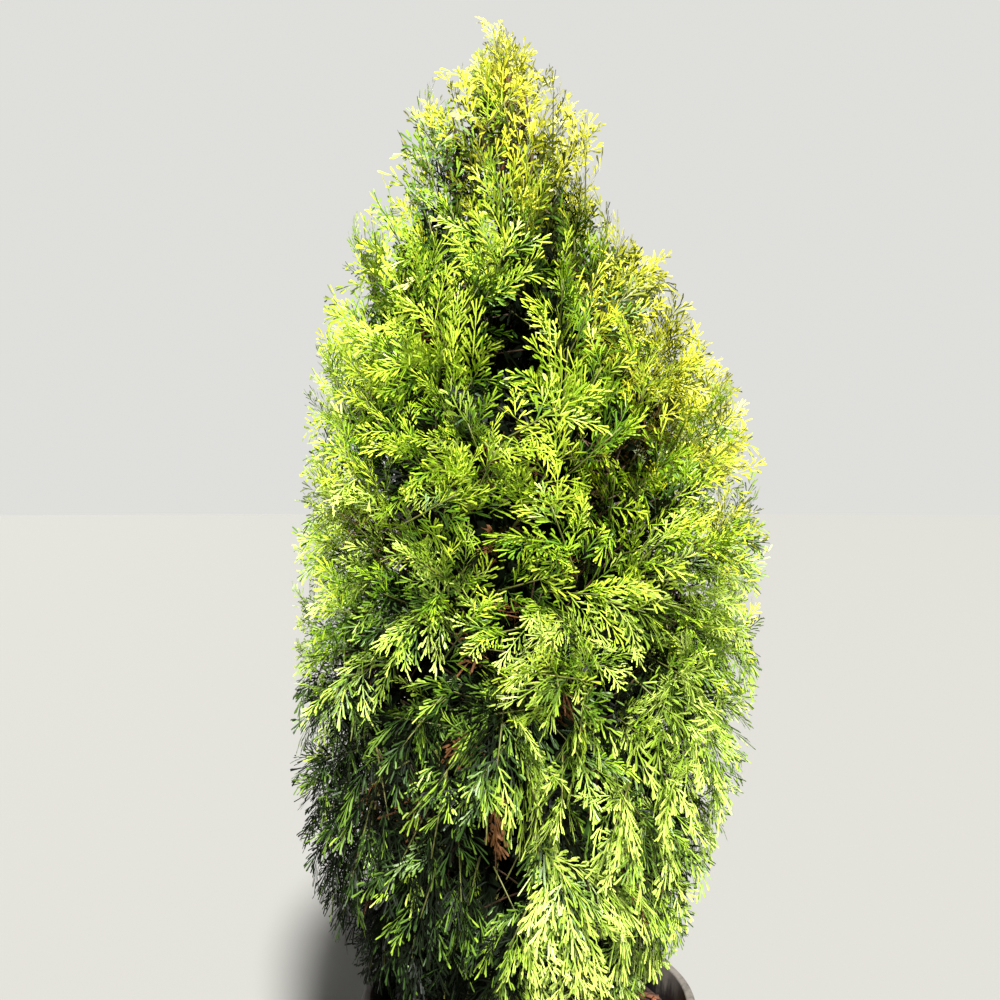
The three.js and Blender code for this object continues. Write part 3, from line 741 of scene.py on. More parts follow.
DROOPS = [0.42, 0.34, 0.16, 0.0, -0.05]
SECTOR_STRAY = 34
TIER_STRAY = 60
SPACE_MARGIN = 1.2
INNER_ROOM = 0.55
FAN_SPREAD = math.radians(40)
FAN_REACHES = [0.8, 0.92, 1.0, 0.92, 0.8]
GOLDEN_RATIO = (1 + math.sqrt(5)) / 2
GOLDEN_ANGLE = math.pi * (3 - math.sqrt(5))
PROUD_HEIGHTS = [850, 1100, 1250]
PROUD_ROOMS = [4, 13, 20]
FLANK_HEIGHTS = [350, 460, 560, 700, 830, 930, 1010, 1110, 1190]
FLANK_INSETS = [8, 30, 14, 12, 2, 12, 32, 34, 12]
TIP_FOOT = 1276
LONE_ROOM = 16
LONE_CURL = 0.05
LONE_SLIMNESS = 0.66
# Where each tip is, by its turn in degrees, its height and how far out it is, then the shoot's length, its
# lean in degrees and its tier.
LONE_SHOOTS = [
    {"turn": 176, "height": 1250, "out": 86, "length": 72, "lean": 32, "tier": 4},
    {"turn": -158, "height": 1244, "out": 76, "length": 66, "lean": 26, "tier": 4},
    {"turn": 4, "height": 1258, "out": 86, "length": 70, "lean": 34, "tier": 4},
    {"turn": -18, "height": 1216, "out": 104, "length": 70, "lean": 40, "tier": 4},
    {"turn": -8, "height": 1092, "out": 164, "length": 96, "lean": 30, "tier": 3},
    {"turn": 96, "height": 1240, "out": 94, "length": 70, "lean": 34, "tier": 4},
    {"turn": 180, "height": 1351, "out": 4, "length": 70, "lean": 12, "tier": 5},
    {"turn": 0, "height": 1312, "out": 34, "length": 56, "lean": 32, "tier": 5},
    {"turn": 184, "height": 1284, "out": 30, "length": 56, "lean": 26, "tier": 5},
    {"turn": -6, "height": 1284, "out": 56, "length": 58, "lean": 32, "tier": 5},
]
TIP_SHOOTS = 30
TIP_LENGTHS = [88, 72, 58, 46, 34]
TIP_LOOSE = 1
TIP_SWELL_X = 11
TIP_LEAN = 0.62
TIP_LEAN_POWER = 1.5
TIP_PLANE_STRAY = 0.8
TIP_FIRST_FOOT = 10
TIP_CLEAR = 1.05
TIP_SLIMNESS = 0.6
CORE_TOP = 1150
HOLLOW_DEPTH = 0.74
BROWN_DEPTH = 0.52
BROWN_BELOW = 800
SIGHT_GAP = {"x": -22, "height": 518, "wide": 19, "tall": 30, "fall": 0.36}
# The dark gaps on the front: the turn in degrees and the height of each one's middle, and half of how wide
# and how tall it is.
HOLLOWS = [
    {"turn": -22, "height": 1124, "wide": 58, "tall": 30},
    {"turn": -88, "height": 1012, "wide": 9, "tall": 24},
    {"turn": -77, "height": 972, "wide": 7, "tall": 32},
    {"turn": -92, "height": 888, "wide": 14, "tall": 12},
    {"turn": -75, "height": 879, "wide": 18, "tall": 12},
    {"turn": -98, "height": 797, "wide": 8, "tall": 30},
    {"turn": -74, "height": 766, "wide": 20, "tall": 10},
    {"turn": -92, "height": 726, "wide": 16, "tall": 16},
    {"turn": -53, "height": 833, "wide": 8, "tall": 14},
    {"turn": -78, "height": 649, "wide": 9, "tall": 26},
    {"turn": -104, "height": 690, "wide": 12, "tall": 20},
    {"turn": -97, "height": 518, "wide": 15, "tall": 40},
    {"turn": -108, "height": 602, "wide": 22, "tall": 16},
    {"turn": -128, "height": 540, "wide": 18, "tall": 30},
]
FIRST_HIDDEN_TURN = -28
HIDDEN_SPAN = 236
HIDDEN_HOLLOWS = 22
HOLLOW_HEIGHTS = [430, 1060]
HOLLOW_WIDTHS = [8, 26]
HOLLOW_TALLS = [16, 40]
STEM_ROWS = 12
STEM_COLUMNS = 8
LEADER_SHORT = 34
LEADER_TIP_RADIUS = 0.8
LEADER_COLUMNS = 6
SHORTEST_TWIG = 1
TWIG_ROWS = 6
TWIG_COLUMNS = 3
TWIG_RADII = [1.4, 0.8]
TWIG_BEND_SHARE = 0.6
TWIG_BEND = 12
GREEN_RADII = [1.2, 0.5]
GREEN_SHARE = 0.75
GREEN_ROWS = 5
MOTTLE_SIZE = 6
MOTTLE_DEPTH = 0.5
SHEATH_LENGTH = 8
HOLLOW_SEED = 19
SHOOT_SEED = 41
UPWARDS = np.array([0.0, 0.0, 1.0])


hollow_random = np.random.default_rng(HOLLOW_SEED)
for i in range(HIDDEN_HOLLOWS):
    # The sides and the back have dark gaps of the same kinds as the front.
    HOLLOWS.append({
        "turn": FIRST_HIDDEN_TURN + HIDDEN_SPAN * (i / GOLDEN_RATIO % 1),
        "height": mix(*HOLLOW_HEIGHTS, (i + 0.5) / HIDDEN_HOLLOWS),
        "wide": hollow_random.uniform(*HOLLOW_WIDTHS), "tall": hollow_random.uniform(*HOLLOW_TALLS),
    })


def in_sight_gap(points):
    """Whether each point is in the one gap that reaches back to the trunk: an upright ellipse on the front,
    which falls on its way in."""
    x, y, z = points[..., 0], points[..., 1], points[..., 2]
    fallen = SIGHT_GAP["height"] - SIGHT_GAP["fall"] * (y + CROWN_RADIUS)
    inside = ((x - SIGHT_GAP["x"]) / SIGHT_GAP["wide"]) ** 2 + ((z - fallen) / SIGHT_GAP["tall"]) ** 2 < 1
    return inside & (y < 0)


def in_hollow(points, share):
    """Whether each point is in one of the dark gaps: within its ellipse on the crown's outside, and further
    out than a share of the crown's reach."""
    radius, turn = about_axis(points)
    reach = crown_reach(points[..., 2], turn)
    inside = np.zeros(radius.shape, dtype=bool)
    for hollow in HOLLOWS:
        along = np.angle(np.exp(1j * (turn - math.radians(hollow["turn"])))) * reach / hollow["wide"]
        up = (points[..., 2] - hollow["height"]) / hollow["tall"]
        inside |= along ** 2 + up ** 2 < 1
    return inside & (radius > share * reach)


def room_at(z, turn):
    """How far past the crown's outline the fine foliage may stand: most at the shoulders under the tip. It
    is below nothing down most of the +X side, which is slimmer, and the leading tip stands out to +X."""
    inset = np.interp(z, FLANK_HEIGHTS, FLANK_INSETS) * np.clip(np.cos(turn), 0, 1)
    shoulder = np.interp(z, PROUD_HEIGHTS, PROUD_ROOMS) - inset
    return np.where(z > TIP_FOOT, TIP_LOOSE + TIP_SWELL_X * np.cos(turn), shoulder)


def holds(mass, points):
    """Whether each point is in a mass's space, or strays into the next mass's by no more than the fine
    foliage may."""
    number = mass["tier"]
    radius, turn = about_axis(points)
    z = points[..., 2]
    off = np.abs(np.angle(np.exp(1j * (turn - mass["middle"]))))
    between = radius * np.sin(mass["half"] - off) > SPACE_MARGIN - SECTOR_STRAY
    over = z > np.maximum(surface_at(number, radius) - TIER_STRAY, CROWN_FOOT)
    under = z < surface_at(number + 1, radius) + TIER_STRAY
    clear = radius > TIERS[number]["inner"] * INNER_ROOM
    inside = radius < crown_reach(z, turn) + room_at(z, turn)
    return between & over & under & clear & inside


def tip_holds(points):
    """Whether each point is in the tip's space: above the last surface and close round the centre line."""
    radius, turn = about_axis(points)
    over = points[..., 2] > surface_at(len(TIERS), radius) - TIER_STRAY
    room = room_at(points[..., 2], turn)
    return over & (radius < crown_reach(points[..., 2], turn) + room) & (points[..., 2] < TREE_TOP)


def fan_points(foot, direction, normal, length):
    """The corners of the fan that a shoot's fronds fill: its tip and two pairs of points to its sides."""
    side = np.cross(normal, direction)
    turns = np.array([-FAN_SPREAD, -FAN_SPREAD / 2, 0, FAN_SPREAD / 2, FAN_SPREAD])
    reach = length * np.array(FAN_REACHES)
    return foot + reach[:, None] * (np.cos(turns)[:, None] * direction + np.sin(turns)[:, None] * side)


def turned_about(vector, axis, angle):
    """A vector turned about an axis that is square to it."""
    return vector * math.cos(angle) + np.cross(axis, vector) * math.sin(angle)


def facings(turn):
    """The level directions outwards and sideways at a turn about the centre line."""
    return np.array([math.cos(turn), math.sin(turn), 0]), np.array([-math.sin(turn), math.cos(turn), 0])


def leaning(outward, lean):
    """The direction that leans outwards by an angle off upright."""
    return outward * math.sin(lean) + UPWARDS * math.cos(lean)


def grown_shoot(root, foot, direction, normal, length, tier, kind, shade=0.0, curl=0.0, slim=1.0, extra=0):
    """One shoot: the root of its twig, its foot, direction, plane and length, its tier and kind of frond,
    how much painted shade it carries, how it curls up, how slim its fan is, and its extra room past
    the outline."""
    return {"root": root, "foot": foot, "direction": direction, "normal": normal, "length": length,
            "tier": tier, "kind": kind, "shade": shade, "curl": curl, "slim": slim, "extra": extra}


def outer_area(mass):
    """A mass's outer face: its middle height times its width at half that height."""
    height = np.linalg.norm(place_in(mass, 0, 1, 1) - place_in(mass, 0, -1, 1))
    return height * about_axis(place_in(mass, 0, 0, 1))[0] * 2 * mass["half"]


def kind_at(z):
    """Which fronds grow at a height: hanging combs low down, feathers, and open forks near the top."""
    return "combs" if z < COMBS_BELOW else "forks" if z > FORKS_ABOVE else "feathers"


def shoots_of(mass, layer, random):
    """Shoots spaced evenly up the mass and by the golden ratio across it, one for each patch of its outer
    face. Some stand like pages, in upright planes that point outwards, three in five high up and one in
    five near the foot, and the others lie like shingles. Each is moved until its fan just reaches the
    outline, or its layer's share of it, give or take a random step, and takes the largest size that stays
    in the mass's space. The layer under the skin has old fronds and a few dry ones. The two inner layers
    have core ones, and stop short of the top."""
    count = math.ceil(outer_area(mass) / layer["area"])
    made = []
    for i in range(count):
        share = (i + 0.5) / count
        golden = (i / GOLDEN_RATIO + layer["out"] + mass["index"] / ACROSS_SHIFTS) % 1
        across = mix(-SHOOT_REACH, SHOOT_REACH, golden)
        up = mix(-1, 1, share)
        aim = place_in(mass, across, up, layer["out"])
        page = 2 * i % 5 < round(np.interp(aim[2], PAGE_HEIGHTS, PAGES_IN_FIVE))
        turn = mass["middle"] + across * mass["half"]
        outward, sideways = facings(turn)
        lift = np.interp(aim[2], LIFT_HEIGHTS, LIFTS)
        if page:
            slant = random.uniform(-PAGE_SLANT, PAGE_SLANT)
        else:
            slant = random.uniform(-SHINGLE_SLANT, SHINGLE_SLANT) * (1 if lift > 0 else HANGING_SLANT)
        rise = lift + random.normal(0, RISE_STRAY)
        forwards = PAGE_OUTWARDS if page else SHINGLE_OUTWARDS
        direction = unit(forwards * outward + rise * UPWARDS + slant * sideways)
        facing = sideways if page else outward
        normal = unit(facing - (facing @ direction) * direction)
        normal = turned_about(normal, direction, random.normal(0, PLANE_STRAY))
        grown = layer["length"] * random.uniform(*SHOOT_GROWTHS)
        proud = random.uniform(0, 1) ** 2 * max(0.0, float(room_at(aim[2], turn)))
        set_back = crown_reach(aim[2], turn) * SHOOT_SET_BACK * random.uniform(0, 1) ** 2
        if layer["name"] in ("inner", "heart") and aim[2] > CORE_TOP:
            continue
        kind = kind_at(aim[2] + random.normal(0, KIND_BLUR))
        if layer["name"] == "under":
            kind = "dry" if random.uniform(0, 1) < DRY_SHARE else "old"
        if layer["name"] in ("inner", "heart"):
            kind = "core"
        for size in SHOOT_SIZES:
            length = size * grown
            foot = aim - direction * length
            corners = fan_points(foot, direction, normal, length)
            radius, corner_turn = about_axis(corners)
            room = np.minimum(room_at(corners[:, 2], corner_turn), 0)
            beyond = radius - crown_reach(corners[:, 2], corner_turn) * layer["out"] - room
            foot = foot - outward * (beyond.max() + set_back - proud)
            if holds(mass, fan_points(foot, direction, normal, length)).all():
                root = along_curve(mass["stem"], share)
                made.append(grown_shoot(root, foot, direction, normal, length, mass["tier"], kind,
                                        shade=layer["shade"], curl=SHOOT_CURL * lift))
                break
    return made


def tip_shoots(random):
    """Ever steeper shoots round the leading stem, each turned on by the golden angle."""
    made = []
    for i in range(TIP_SHOOTS):
        share = i / (TIP_SHOOTS - 1)
        outward, sideways = facings(i * GOLDEN_ANGLE)
        lean = TIP_LEAN * (1 - share ** TIP_LEAN_POWER)
        direction = leaning(outward, lean)
        stray = random.uniform(-TIP_PLANE_STRAY, TIP_PLANE_STRAY)
        normal = turned_about(sideways, direction, stray)
        for length in TIP_LENGTHS:
            last_foot = TREE_TOP - length * math.cos(lean) * TIP_CLEAR
            foot = axis_at(mix(TRUNK_TIP + TIP_FIRST_FOOT, last_foot, share))
            if tip_holds(fan_points(foot, direction, normal, length)).all():
                made.append(grown_shoot(foot, foot, direction, normal, length, len(TIERS), "forks",
                                        slim=TIP_SLIMNESS))
                break
    return made


def lone_shoots():
    """Single shoots that stand out of the outline round the shoulders and the tip, in upright planes, each as
    many degrees off upright as its lean."""
    made = []
    for lone in LONE_SHOOTS:
        turn, lean = math.radians(lone["turn"]), math.radians(lone["lean"])
        outward, sideways = facings(turn)
        direction = leaning(outward, lean)
        tip = from_axis(np.float64(lone["out"]), turn, np.float64(lone["height"]))
        foot = tip - direction * lone["length"]
        stems = [mass["stem"][2] for mass in MASSES if mass["tier"] == lone["tier"]] or [foot]
        root = min(stems, key=lambda place: np.linalg.norm(place - foot))
        made.append(grown_shoot(root, foot, direction, sideways, lone["length"], lone["tier"], "forks",
                                curl=LONE_CURL, slim=LONE_SLIMNESS, extra=LONE_ROOM))
    return made


shoot_random = np.random.default_rng(SHOOT_SEED)
SHOOTS = [shoot for mass in MASSES for layer in SHOOT_LAYERS
          for shoot in shoots_of(mass, layer, shoot_random)]
SHOOTS += tip_shoots(shoot_random) + lone_shoots()
foot, direction, plane, length, curl, roots, shoot_tier, shoot_shade, shoot_kind, slimness, extra_room = (
    np.array([shoot[key] for shoot in SHOOTS]) for key in (
        "foot", "direction", "normal", "length", "curl", "root", "tier", "shade", "kind", "slim", "extra"))


def shoot_point(number, share):
    """A place along a shoot: straight on by its length, and lifted by its curl times the share squared."""
    grown = direction[number] * share[..., None] + UPWARDS * (curl[number] * share ** 2)[..., None]
    return foot[number] + length[number][..., None] * grown


def shoot_tangent(number, share):
    """The direction of a shoot at a share of its length."""
    return unit(direction[number] + UPWARDS * (2 * curl[number] * share)[..., None])


def twig_surfaces():
    """The masses' stems, the leading stem, and the twigs from them to the shoots' feet, as thin tubes."""
    share = np.linspace(0, 1, STEM_ROWS)
    stems = np.stack([along_curve(mass["stem"], share) for mass in MASSES])
    thick = np.array([TIERS[mass["tier"]]["bough"] for mass in MASSES])[:, None]
    stem_tubes = limbs(stems, thick * mix(BOUGH_TIP_SHARE, STEM_TIP_SHARE, share)[None], STEM_COLUMNS)
    leader = axis_at(mix(TRUNK_TIP, TREE_TOP - LEADER_SHORT, share))[None]
    leader_tube = limbs(leader, mix(TRUNK_TIP_RADIUS, LEADER_TIP_RADIUS, share)[None], LEADER_COLUMNS)
    led = np.linalg.norm(foot - roots, axis=1) > SHORTEST_TWIG
    bend = mix(roots[led], foot[led], TWIG_BEND_SHARE) - direction[led] * TWIG_BEND
    controls = np.stack([roots[led], bend, foot[led]], axis=1)
    share = np.linspace(0, 1, TWIG_ROWS)
    twigs = along_curve(controls[:, None], np.broadcast_to(share, (len(controls), TWIG_ROWS)))
    twig_radii = np.broadcast_to(mix(*TWIG_RADII, share), (len(twigs), TWIG_ROWS))
    twig_tubes = limbs(twigs, twig_radii, TWIG_COLUMNS)
    return joined([stem_tubes, leader_tube, twig_tubes])


def green_shoot_surfaces():
    """The shoots that carry the fronds, each a thin tube along its curve."""
    numbers = np.repeat(np.arange(len(SHOOTS))[:, None], GREEN_ROWS, axis=1)
    share = np.broadcast_to(np.linspace(0, GREEN_SHARE, GREEN_ROWS), numbers.shape)
    return limbs(shoot_point(numbers, share), mix(*GREEN_RADII, share), TWIG_COLUMNS)


# Young wood: smooth, thin dark brown bark over live wood, a little glossy.
young_bark, surface = new_material("smooth_young_brown_bark")
place = add_node(young_bark, "ShaderNodeTexCoord", {}, {}).outputs["Object"]
mottle = add_node(young_bark, "ShaderNodeTexNoise", {}, {
    "Vector": place, "Scale": 1 / (MOTTLE_SIZE * MM), "Detail": 4,
}).outputs["Fac"]
young_colour = add_node(young_bark, "ShaderNodeMix", {"data_type": "RGBA"}, {
    "Factor": mottle, 6: linear("#33241a"), 7: linear("#5f452e"),
}).outputs[2]
young_relief = add_node(young_bark, "ShaderNodeBump", {}, {
    "Height": mottle, "Strength": 0.5, "Distance": MOTTLE_DEPTH * MM,
}).outputs["Normal"]
young_skin = add_node(young_bark, "ShaderNodeBsdfPrincipled", {}, {
    "Base Color": young_colour, "Roughness": 0.6, "Normal": young_relief,
}).outputs["BSDF"]
young_bark.node_tree.links.new(young_skin, surface.inputs["Surface"])

foliage_nodes = [[f"foliage_{tier['name']}_{index + 1}" for index in range(tier["masses"])] for tier in TIERS]
foliage_nodes.append(["foliage_tip"])
add_piece("stems_and_twigs", *twig_surfaces(), young_bark, "bark", sum(foliage_nodes, []))

# This year's shoots: sheathed in scale leaves that are still green, with the wood's brown showing through.
green_shoot, surface = new_material("sheathed_green_shoot")
place = add_node(green_shoot, "ShaderNodeTexCoord", {}, {}).outputs["Object"]
sheaths = add_node(green_shoot, "ShaderNodeTexNoise", {}, {
    "Vector": place, "Scale": 1 / (SHEATH_LENGTH * MM), "Detail": 3,
}).outputs["Fac"]
shoot_colour = add_node(green_shoot, "ShaderNodeMix", {"data_type": "RGBA"}, {
    "Factor": sheaths, 6: linear("#58702c"), 7: linear("#7a6c36"),
}).outputs[2]
shoot_skin = add_node(green_shoot, "ShaderNodeBsdfPrincipled", {}, {
    "Base Color": shoot_colour, "Roughness": 0.55,
}).outputs["BSDF"]
green_shoot.node_tree.links.new(shoot_skin, surface.inputs["Surface"])
add_piece("green_shoots", *green_shoot_surfaces(), green_shoot, "foliage_green", sum(foliage_nodes, []))


# The fronds
# Scale leaves pressed flat along a branchlet make narrow blunt strips, in two ranks on each side branch, and
# side branches in two ranks make a frond. Strips are about 1.4 to 2 mm wide outside, 1.2 mm on dry fronds,
# 2.6 mm on old ones, and 10.5 mm in the core, far larger than life, so that few of them fill it.
FROND_LENGTHS = [78, 58, 40]
FROND_VARIANTS = 4
# Each kind's side branches have a turn in degrees at the frond's foot and tip, a spread as a share of its
# length, and a step. Its strips have a step, a width, a longest length, a growth with what is left of the
# branch beyond them, a lean in degrees, and a curve.
FROND_KINDS = {
    "combs": {"turns": (40, 22), "spread": 0.25, "branch_step": 4.6, "strip_step": 4.6, "width": 1.5,
              "longest": 13, "growth": 0.6, "lean": (10, 22), "curve": -0.3},
    "feathers": {"turns": (44, 26), "spread": 0.23, "branch_step": 4.5, "strip_step": 4.3, "width": 1.4,
                 "longest": 10.5, "growth": 0.5, "lean": (13, 26), "curve": -0.3},
    "forks": {"turns": (50, 32), "spread": 0.2, "branch_step": 6.0, "strip_step": 4.8, "width": 2.0,
              "longest": 8, "growth": 0.35, "lean": (26, 40), "curve": -0.25},
    "old": {"turns": (42, 26), "spread": 0.26, "branch_step": 7.0, "strip_step": 6.0, "width": 2.6,
            "longest": 14, "growth": 0.55, "lean": (12, 24), "curve": -0.2},
    "core": {"turns": (52, 32), "spread": 0.36, "branch_step": 14, "strip_step": 11, "width": 10.5,
             "longest": 26, "growth": 0.9, "lean": (20, 36), "curve": -0.2},
    "dry": {"turns": (46, 30), "spread": 0.24, "branch_step": 6.0, "strip_step": 5.0, "width": 1.2,
            "longest": 9, "growth": 0.4, "lean": (25, 65), "curve": 0.7},
}
FRONDS_ON_SHOOT = 9
FIRST_FROND_SHARE = 0.06
FROND_SPAN = 0.78
LAST_FROND_SHARE = 0.6
LAST_FROND_REACH = 0.4
FROND_LEANS = [50, 22]
FROND_LEAN_STRAY = 9
FROND_REACHES = [0.62, 0.42]
FROND_GROWTHS = [0.8, 1.15]
OUT_OF_PLANE = 0.26
FROND_TILT = 0.4
# The mean and the spread of how much fronds bend and cup.
BENDS = [0.1, 0.18]
CUPS = [0.2, 0.25]
SWING_STRAY = 0.2
DROOP_STRAY = 0.08
FIRST_BRANCH = 0.6
BRANCH_STRAY = 4
BRANCH_TAPER = 0.6
BRANCH_FOOT = 0.55
BRANCH_SWELL = 2.2
SHORTEST_BRANCH = 6
BRANCH_GROWTHS = [0.85, 1.12]
BRANCH_WIDTH = 0.95
BRANCH_CURVE = 0.2
BRANCH_BARE = 3
FIRST_STRIP = 0.9
SHORTEST_STRIP = 5
STRIP_GROWTHS = [0.82, 1.12]
STRIP_WIDTHS = [0.85, 1.12]
STRIP_CURVES = [0.6, 1.3]
STRIP_BASE_STRAY = 0.3
STRIP_ROLL = 0.24
STRIP_PITCH = 0.12
SIDEWAYS_OUT = 0.8
MIDRIB_STRIPS = 3
MIDRIB_WIDTHS = [0.95, 0.85]
MIDRIB_OVERLAP = 1
WAIST_SHARE = 0.35
WAIST_WIDTH = 0.8
TIP_TURN = 1.3
STRIP_FACES = np.array([[0, 2, 1], [2, 4, 1], [1, 4, 3], [3, 4, 5]])
# Strips are painted lighter towards a frond's tips and darker at its foot: partly the golden new growth,
# partly painted shade further in the frond; and each differs a little at random.
TIP_BRIGHTNESS = 0.46
EVEN_OUT = 0.45
STRIP_CONTRAST = 0.06
# Five steps of painted light choose a frond's tint in its palette, from painted shade to painted highlight:
# lit and shaded copies of one leaf colour.
SHADE_STEPS = [0.14, 0.3, 0.48, 0.68]
SHADES = {
    "fresh": ["old", "deep", "green", "lime", "sunlit"],
    "warm": ["bronze", "bronze", "amber", "gold", "yellow"],
    "pale": ["old", "fir", "moss", "pale_lit", "pale_highlight"],
}
SUN_WARMTH = 0.42
WARM_TURN = 0.2
FROND_WARMTH_STRAY = 0.05
SHOOT_WARMTH_STRAY = 0.07
WARM_ABOVE = 0.9
TIP_WARMTH = 0.22
PALE_BELOW = 0.42
FROND_LIGHT = 0.62
HEIGHT_LIGHT = 0.05
OUTNESS_LIGHT = 0.7
OUTNESS_MIDDLE = 0.88
OUTNESS_MOST = 1.1
AWAY_SHADE = 0.92
AWAY_TURN = 0.35
AWAY_TOP = 0.5
AWAY_EDGE = 0.45
AWAY_BLUR = 0.3
SUN_SIDE_SHADE = 0.36
SUN_SIDE_TOP = 0.6
SUN_SIDE_EDGE = 0.6
SUN_SIDE_BLUR = 0.4
BAND_HEIGHTS = [0.7, 0.8, 0.88, 0.95]
BAND_SHADES = [0, 0.1, 0.1, 0]
FROND_LIGHT_STRAY = 0.15
SHOOT_LIGHT_STRAY = 0.1
FEWEST_STRIPS = 60
HIDDEN_HEIGHTS = [1060, 1240]
HIDDEN_REACHES = [0.86, 0.4]
KIND_TEMPLATES = len(FROND_LENGTHS) * FROND_VARIANTS
TEMPLATE_SEED = 77
FROND_SEED = 88
SCALE_LENGTH = 2.4
SCALE_DEPTH = 0.5
# The near-black tint is partly the dull green of old inner foliage and mostly painted shade: it goes where
# the painted shade is deepest, above all deep in the crown and in the core.
TINTS = {
    "dry": {"colour": "#755030", "gloss": 0.08, "slot": "foliage_deep"},
    "old": {"colour": "#10170a", "gloss": 0.08, "slot": "foliage_deep"},
    "deep": {"colour": "#335018", "gloss": 0.2, "slot": "foliage_deep"},
    "green": {"colour": "#5e8818", "gloss": 0.45, "slot": "foliage_green"},
    "lime": {"colour": "#92b620", "gloss": 0.45, "slot": "foliage_lime"},
    "sunlit": {"colour": "#c4dc3c", "gloss": 0.45, "slot": "foliage_lime"},
    "bronze": {"colour": "#454f14", "gloss": 0.2, "slot": "foliage_gold"},
    "amber": {"colour": "#8c961e", "gloss": 0.45, "slot": "foliage_gold"},
    "gold": {"colour": "#c0c424", "gloss": 0.45, "slot": "foliage_gold"},
    "yellow": {"colour": "#dcdc38", "gloss": 0.45, "slot": "foliage_gold"},
    "fir": {"colour": "#2d4418", "gloss": 0.2, "slot": "foliage_deep"},
    "moss": {"colour": "#5e7c24", "gloss": 0.45, "slot": "foliage_green"},
    "pale_lit": {"colour": "#94b236", "gloss": 0.45, "slot": "foliage_lime"},
    "pale_highlight": {"colour": "#c4da60", "gloss": 0.45, "slot": "foliage_lime"},
}


def strip_points(base, heading, strip_length, width, roll, pitch, curve):
    """Strips in six points: a foot, a waist and an end of two points each, and a blunt tip half a width
    further on. Past the waist a strip turns on by its curve."""
    def along(turn):
        """The direction at a turn in the frond's plane, raised out of it by the pitch."""
        return np.stack([np.cos(turn) * np.cos(pitch), np.sin(turn) * np.cos(pitch), np.sin(pitch)], axis=1)

    ahead = along(heading)
    level = np.stack([-np.sin(heading), np.cos(heading), np.zeros(len(base))], axis=1)
    across = level * np.cos(roll)[:, None] + np.cross(ahead, level) * np.sin(roll)[:, None]
    half = width[:, None] / 2
    reach = strip_length[:, None]
    waist = base + ahead * reach * WAIST_SHARE
    end = waist + along(heading + curve) * (reach * (1 - WAIST_SHARE) - half)
    tip = end + along(heading + TIP_TURN * curve) * half
    return np.stack([base, waist + across * half * WAIST_WIDTH, waist - across * half * WAIST_WIDTH,
                     end + across * half, end - across * half, tip], axis=1)


def frond_template(frond_length, kind, first_side, random):
    """A frond in its own plane, along X: side branches in two ranks, leaning forwards, and strips in two
    ranks on each, which curve back along the side branch, or away from it where they are dry. Gives its
    kind and length, the strips' points, how far out on the frond each strip stands, from 0 to 1, and how
    much lighter it is than the frond."""
    made = FROND_KINDS[kind]
    base, heading, reach, width, curve, outer = [], [], [], [], [], []

    def add(x, y, turn, strip_length, strip_width, strip_curve, out):
        """One more strip, whose foot strays a little out of the plane."""
        base.append([x, y, random.normal(0, STRIP_BASE_STRAY)])
        heading.append(turn)
        reach.append(strip_length)
        width.append(strip_width)
        curve.append(strip_curve)
        outer.append(out)

    for k in range(int(frond_length / made["branch_step"])):
        x = (k + FIRST_BRANCH) * made["branch_step"]
        share = x / frond_length
        side = first_side if k % 2 else -first_side
        turn = side * math.radians(mix(*made["turns"], share) + random.uniform(-BRANCH_STRAY, BRANCH_STRAY))
        swell = min(1, BRANCH_FOOT + share * BRANCH_SWELL)
        grown = frond_length * made["spread"] * (1 - share) ** BRANCH_TAPER * swell + SHORTEST_BRANCH
        grown *= random.uniform(*BRANCH_GROWTHS)
        add(x, 0, turn, grown, made["width"] * BRANCH_WIDTH, -side * BRANCH_CURVE, share)
        for j in range(int((grown - BRANCH_BARE) / made["strip_step"])):
            at = (j + FIRST_STRIP) * made["strip_step"]
            lean = (1 if j % 2 else -1) * side
            strip_turn = turn + lean * math.radians(random.uniform(*made["lean"]))
            strip_length = SHORTEST_STRIP + made["growth"] * (grown - at)
            strip_length = min(made["longest"], strip_length) * random.uniform(*STRIP_GROWTHS)
            strip_width = made["width"] * random.uniform(*STRIP_WIDTHS)
            strip_curve = lean * made["curve"] * random.uniform(*STRIP_CURVES)
            out = min(1.0, share + SIDEWAYS_OUT * at / frond_length)
            add(x + at * math.cos(turn), at * math.sin(turn), strip_turn, strip_length,
                strip_width, strip_curve, out)
    midrib_length = frond_length / MIDRIB_STRIPS + MIDRIB_OVERLAP
    for k in range(MIDRIB_STRIPS):
        taper = mix(*MIDRIB_WIDTHS, k / (MIDRIB_STRIPS - 1))
        x = frond_length * k / MIDRIB_STRIPS
        add(x, 0, 0, midrib_length, made["width"] * taper, 0, k / MIDRIB_STRIPS)
    count = len(base)
    points = strip_points(
        np.array(base), np.array(heading), np.array(reach), np.array(width),
        random.normal(0, STRIP_ROLL, count), random.normal(0, STRIP_PITCH, count), np.array(curve))
    outer = np.array(outer)
    glow = TIP_BRIGHTNESS * (outer - EVEN_OUT) + random.normal(0, STRIP_CONTRAST, count)
    return {"kind": kind, "length": frond_length, "points": points, "outer": outer, "glow": glow}


template_random = np.random.default_rng(TEMPLATE_SEED)
TEMPLATES = [frond_template(size, kind, 1 if variant % 2 else -1, template_random)
             for kind in FROND_KINDS for size in FROND_LENGTHS for variant in range(FROND_VARIANTS)]


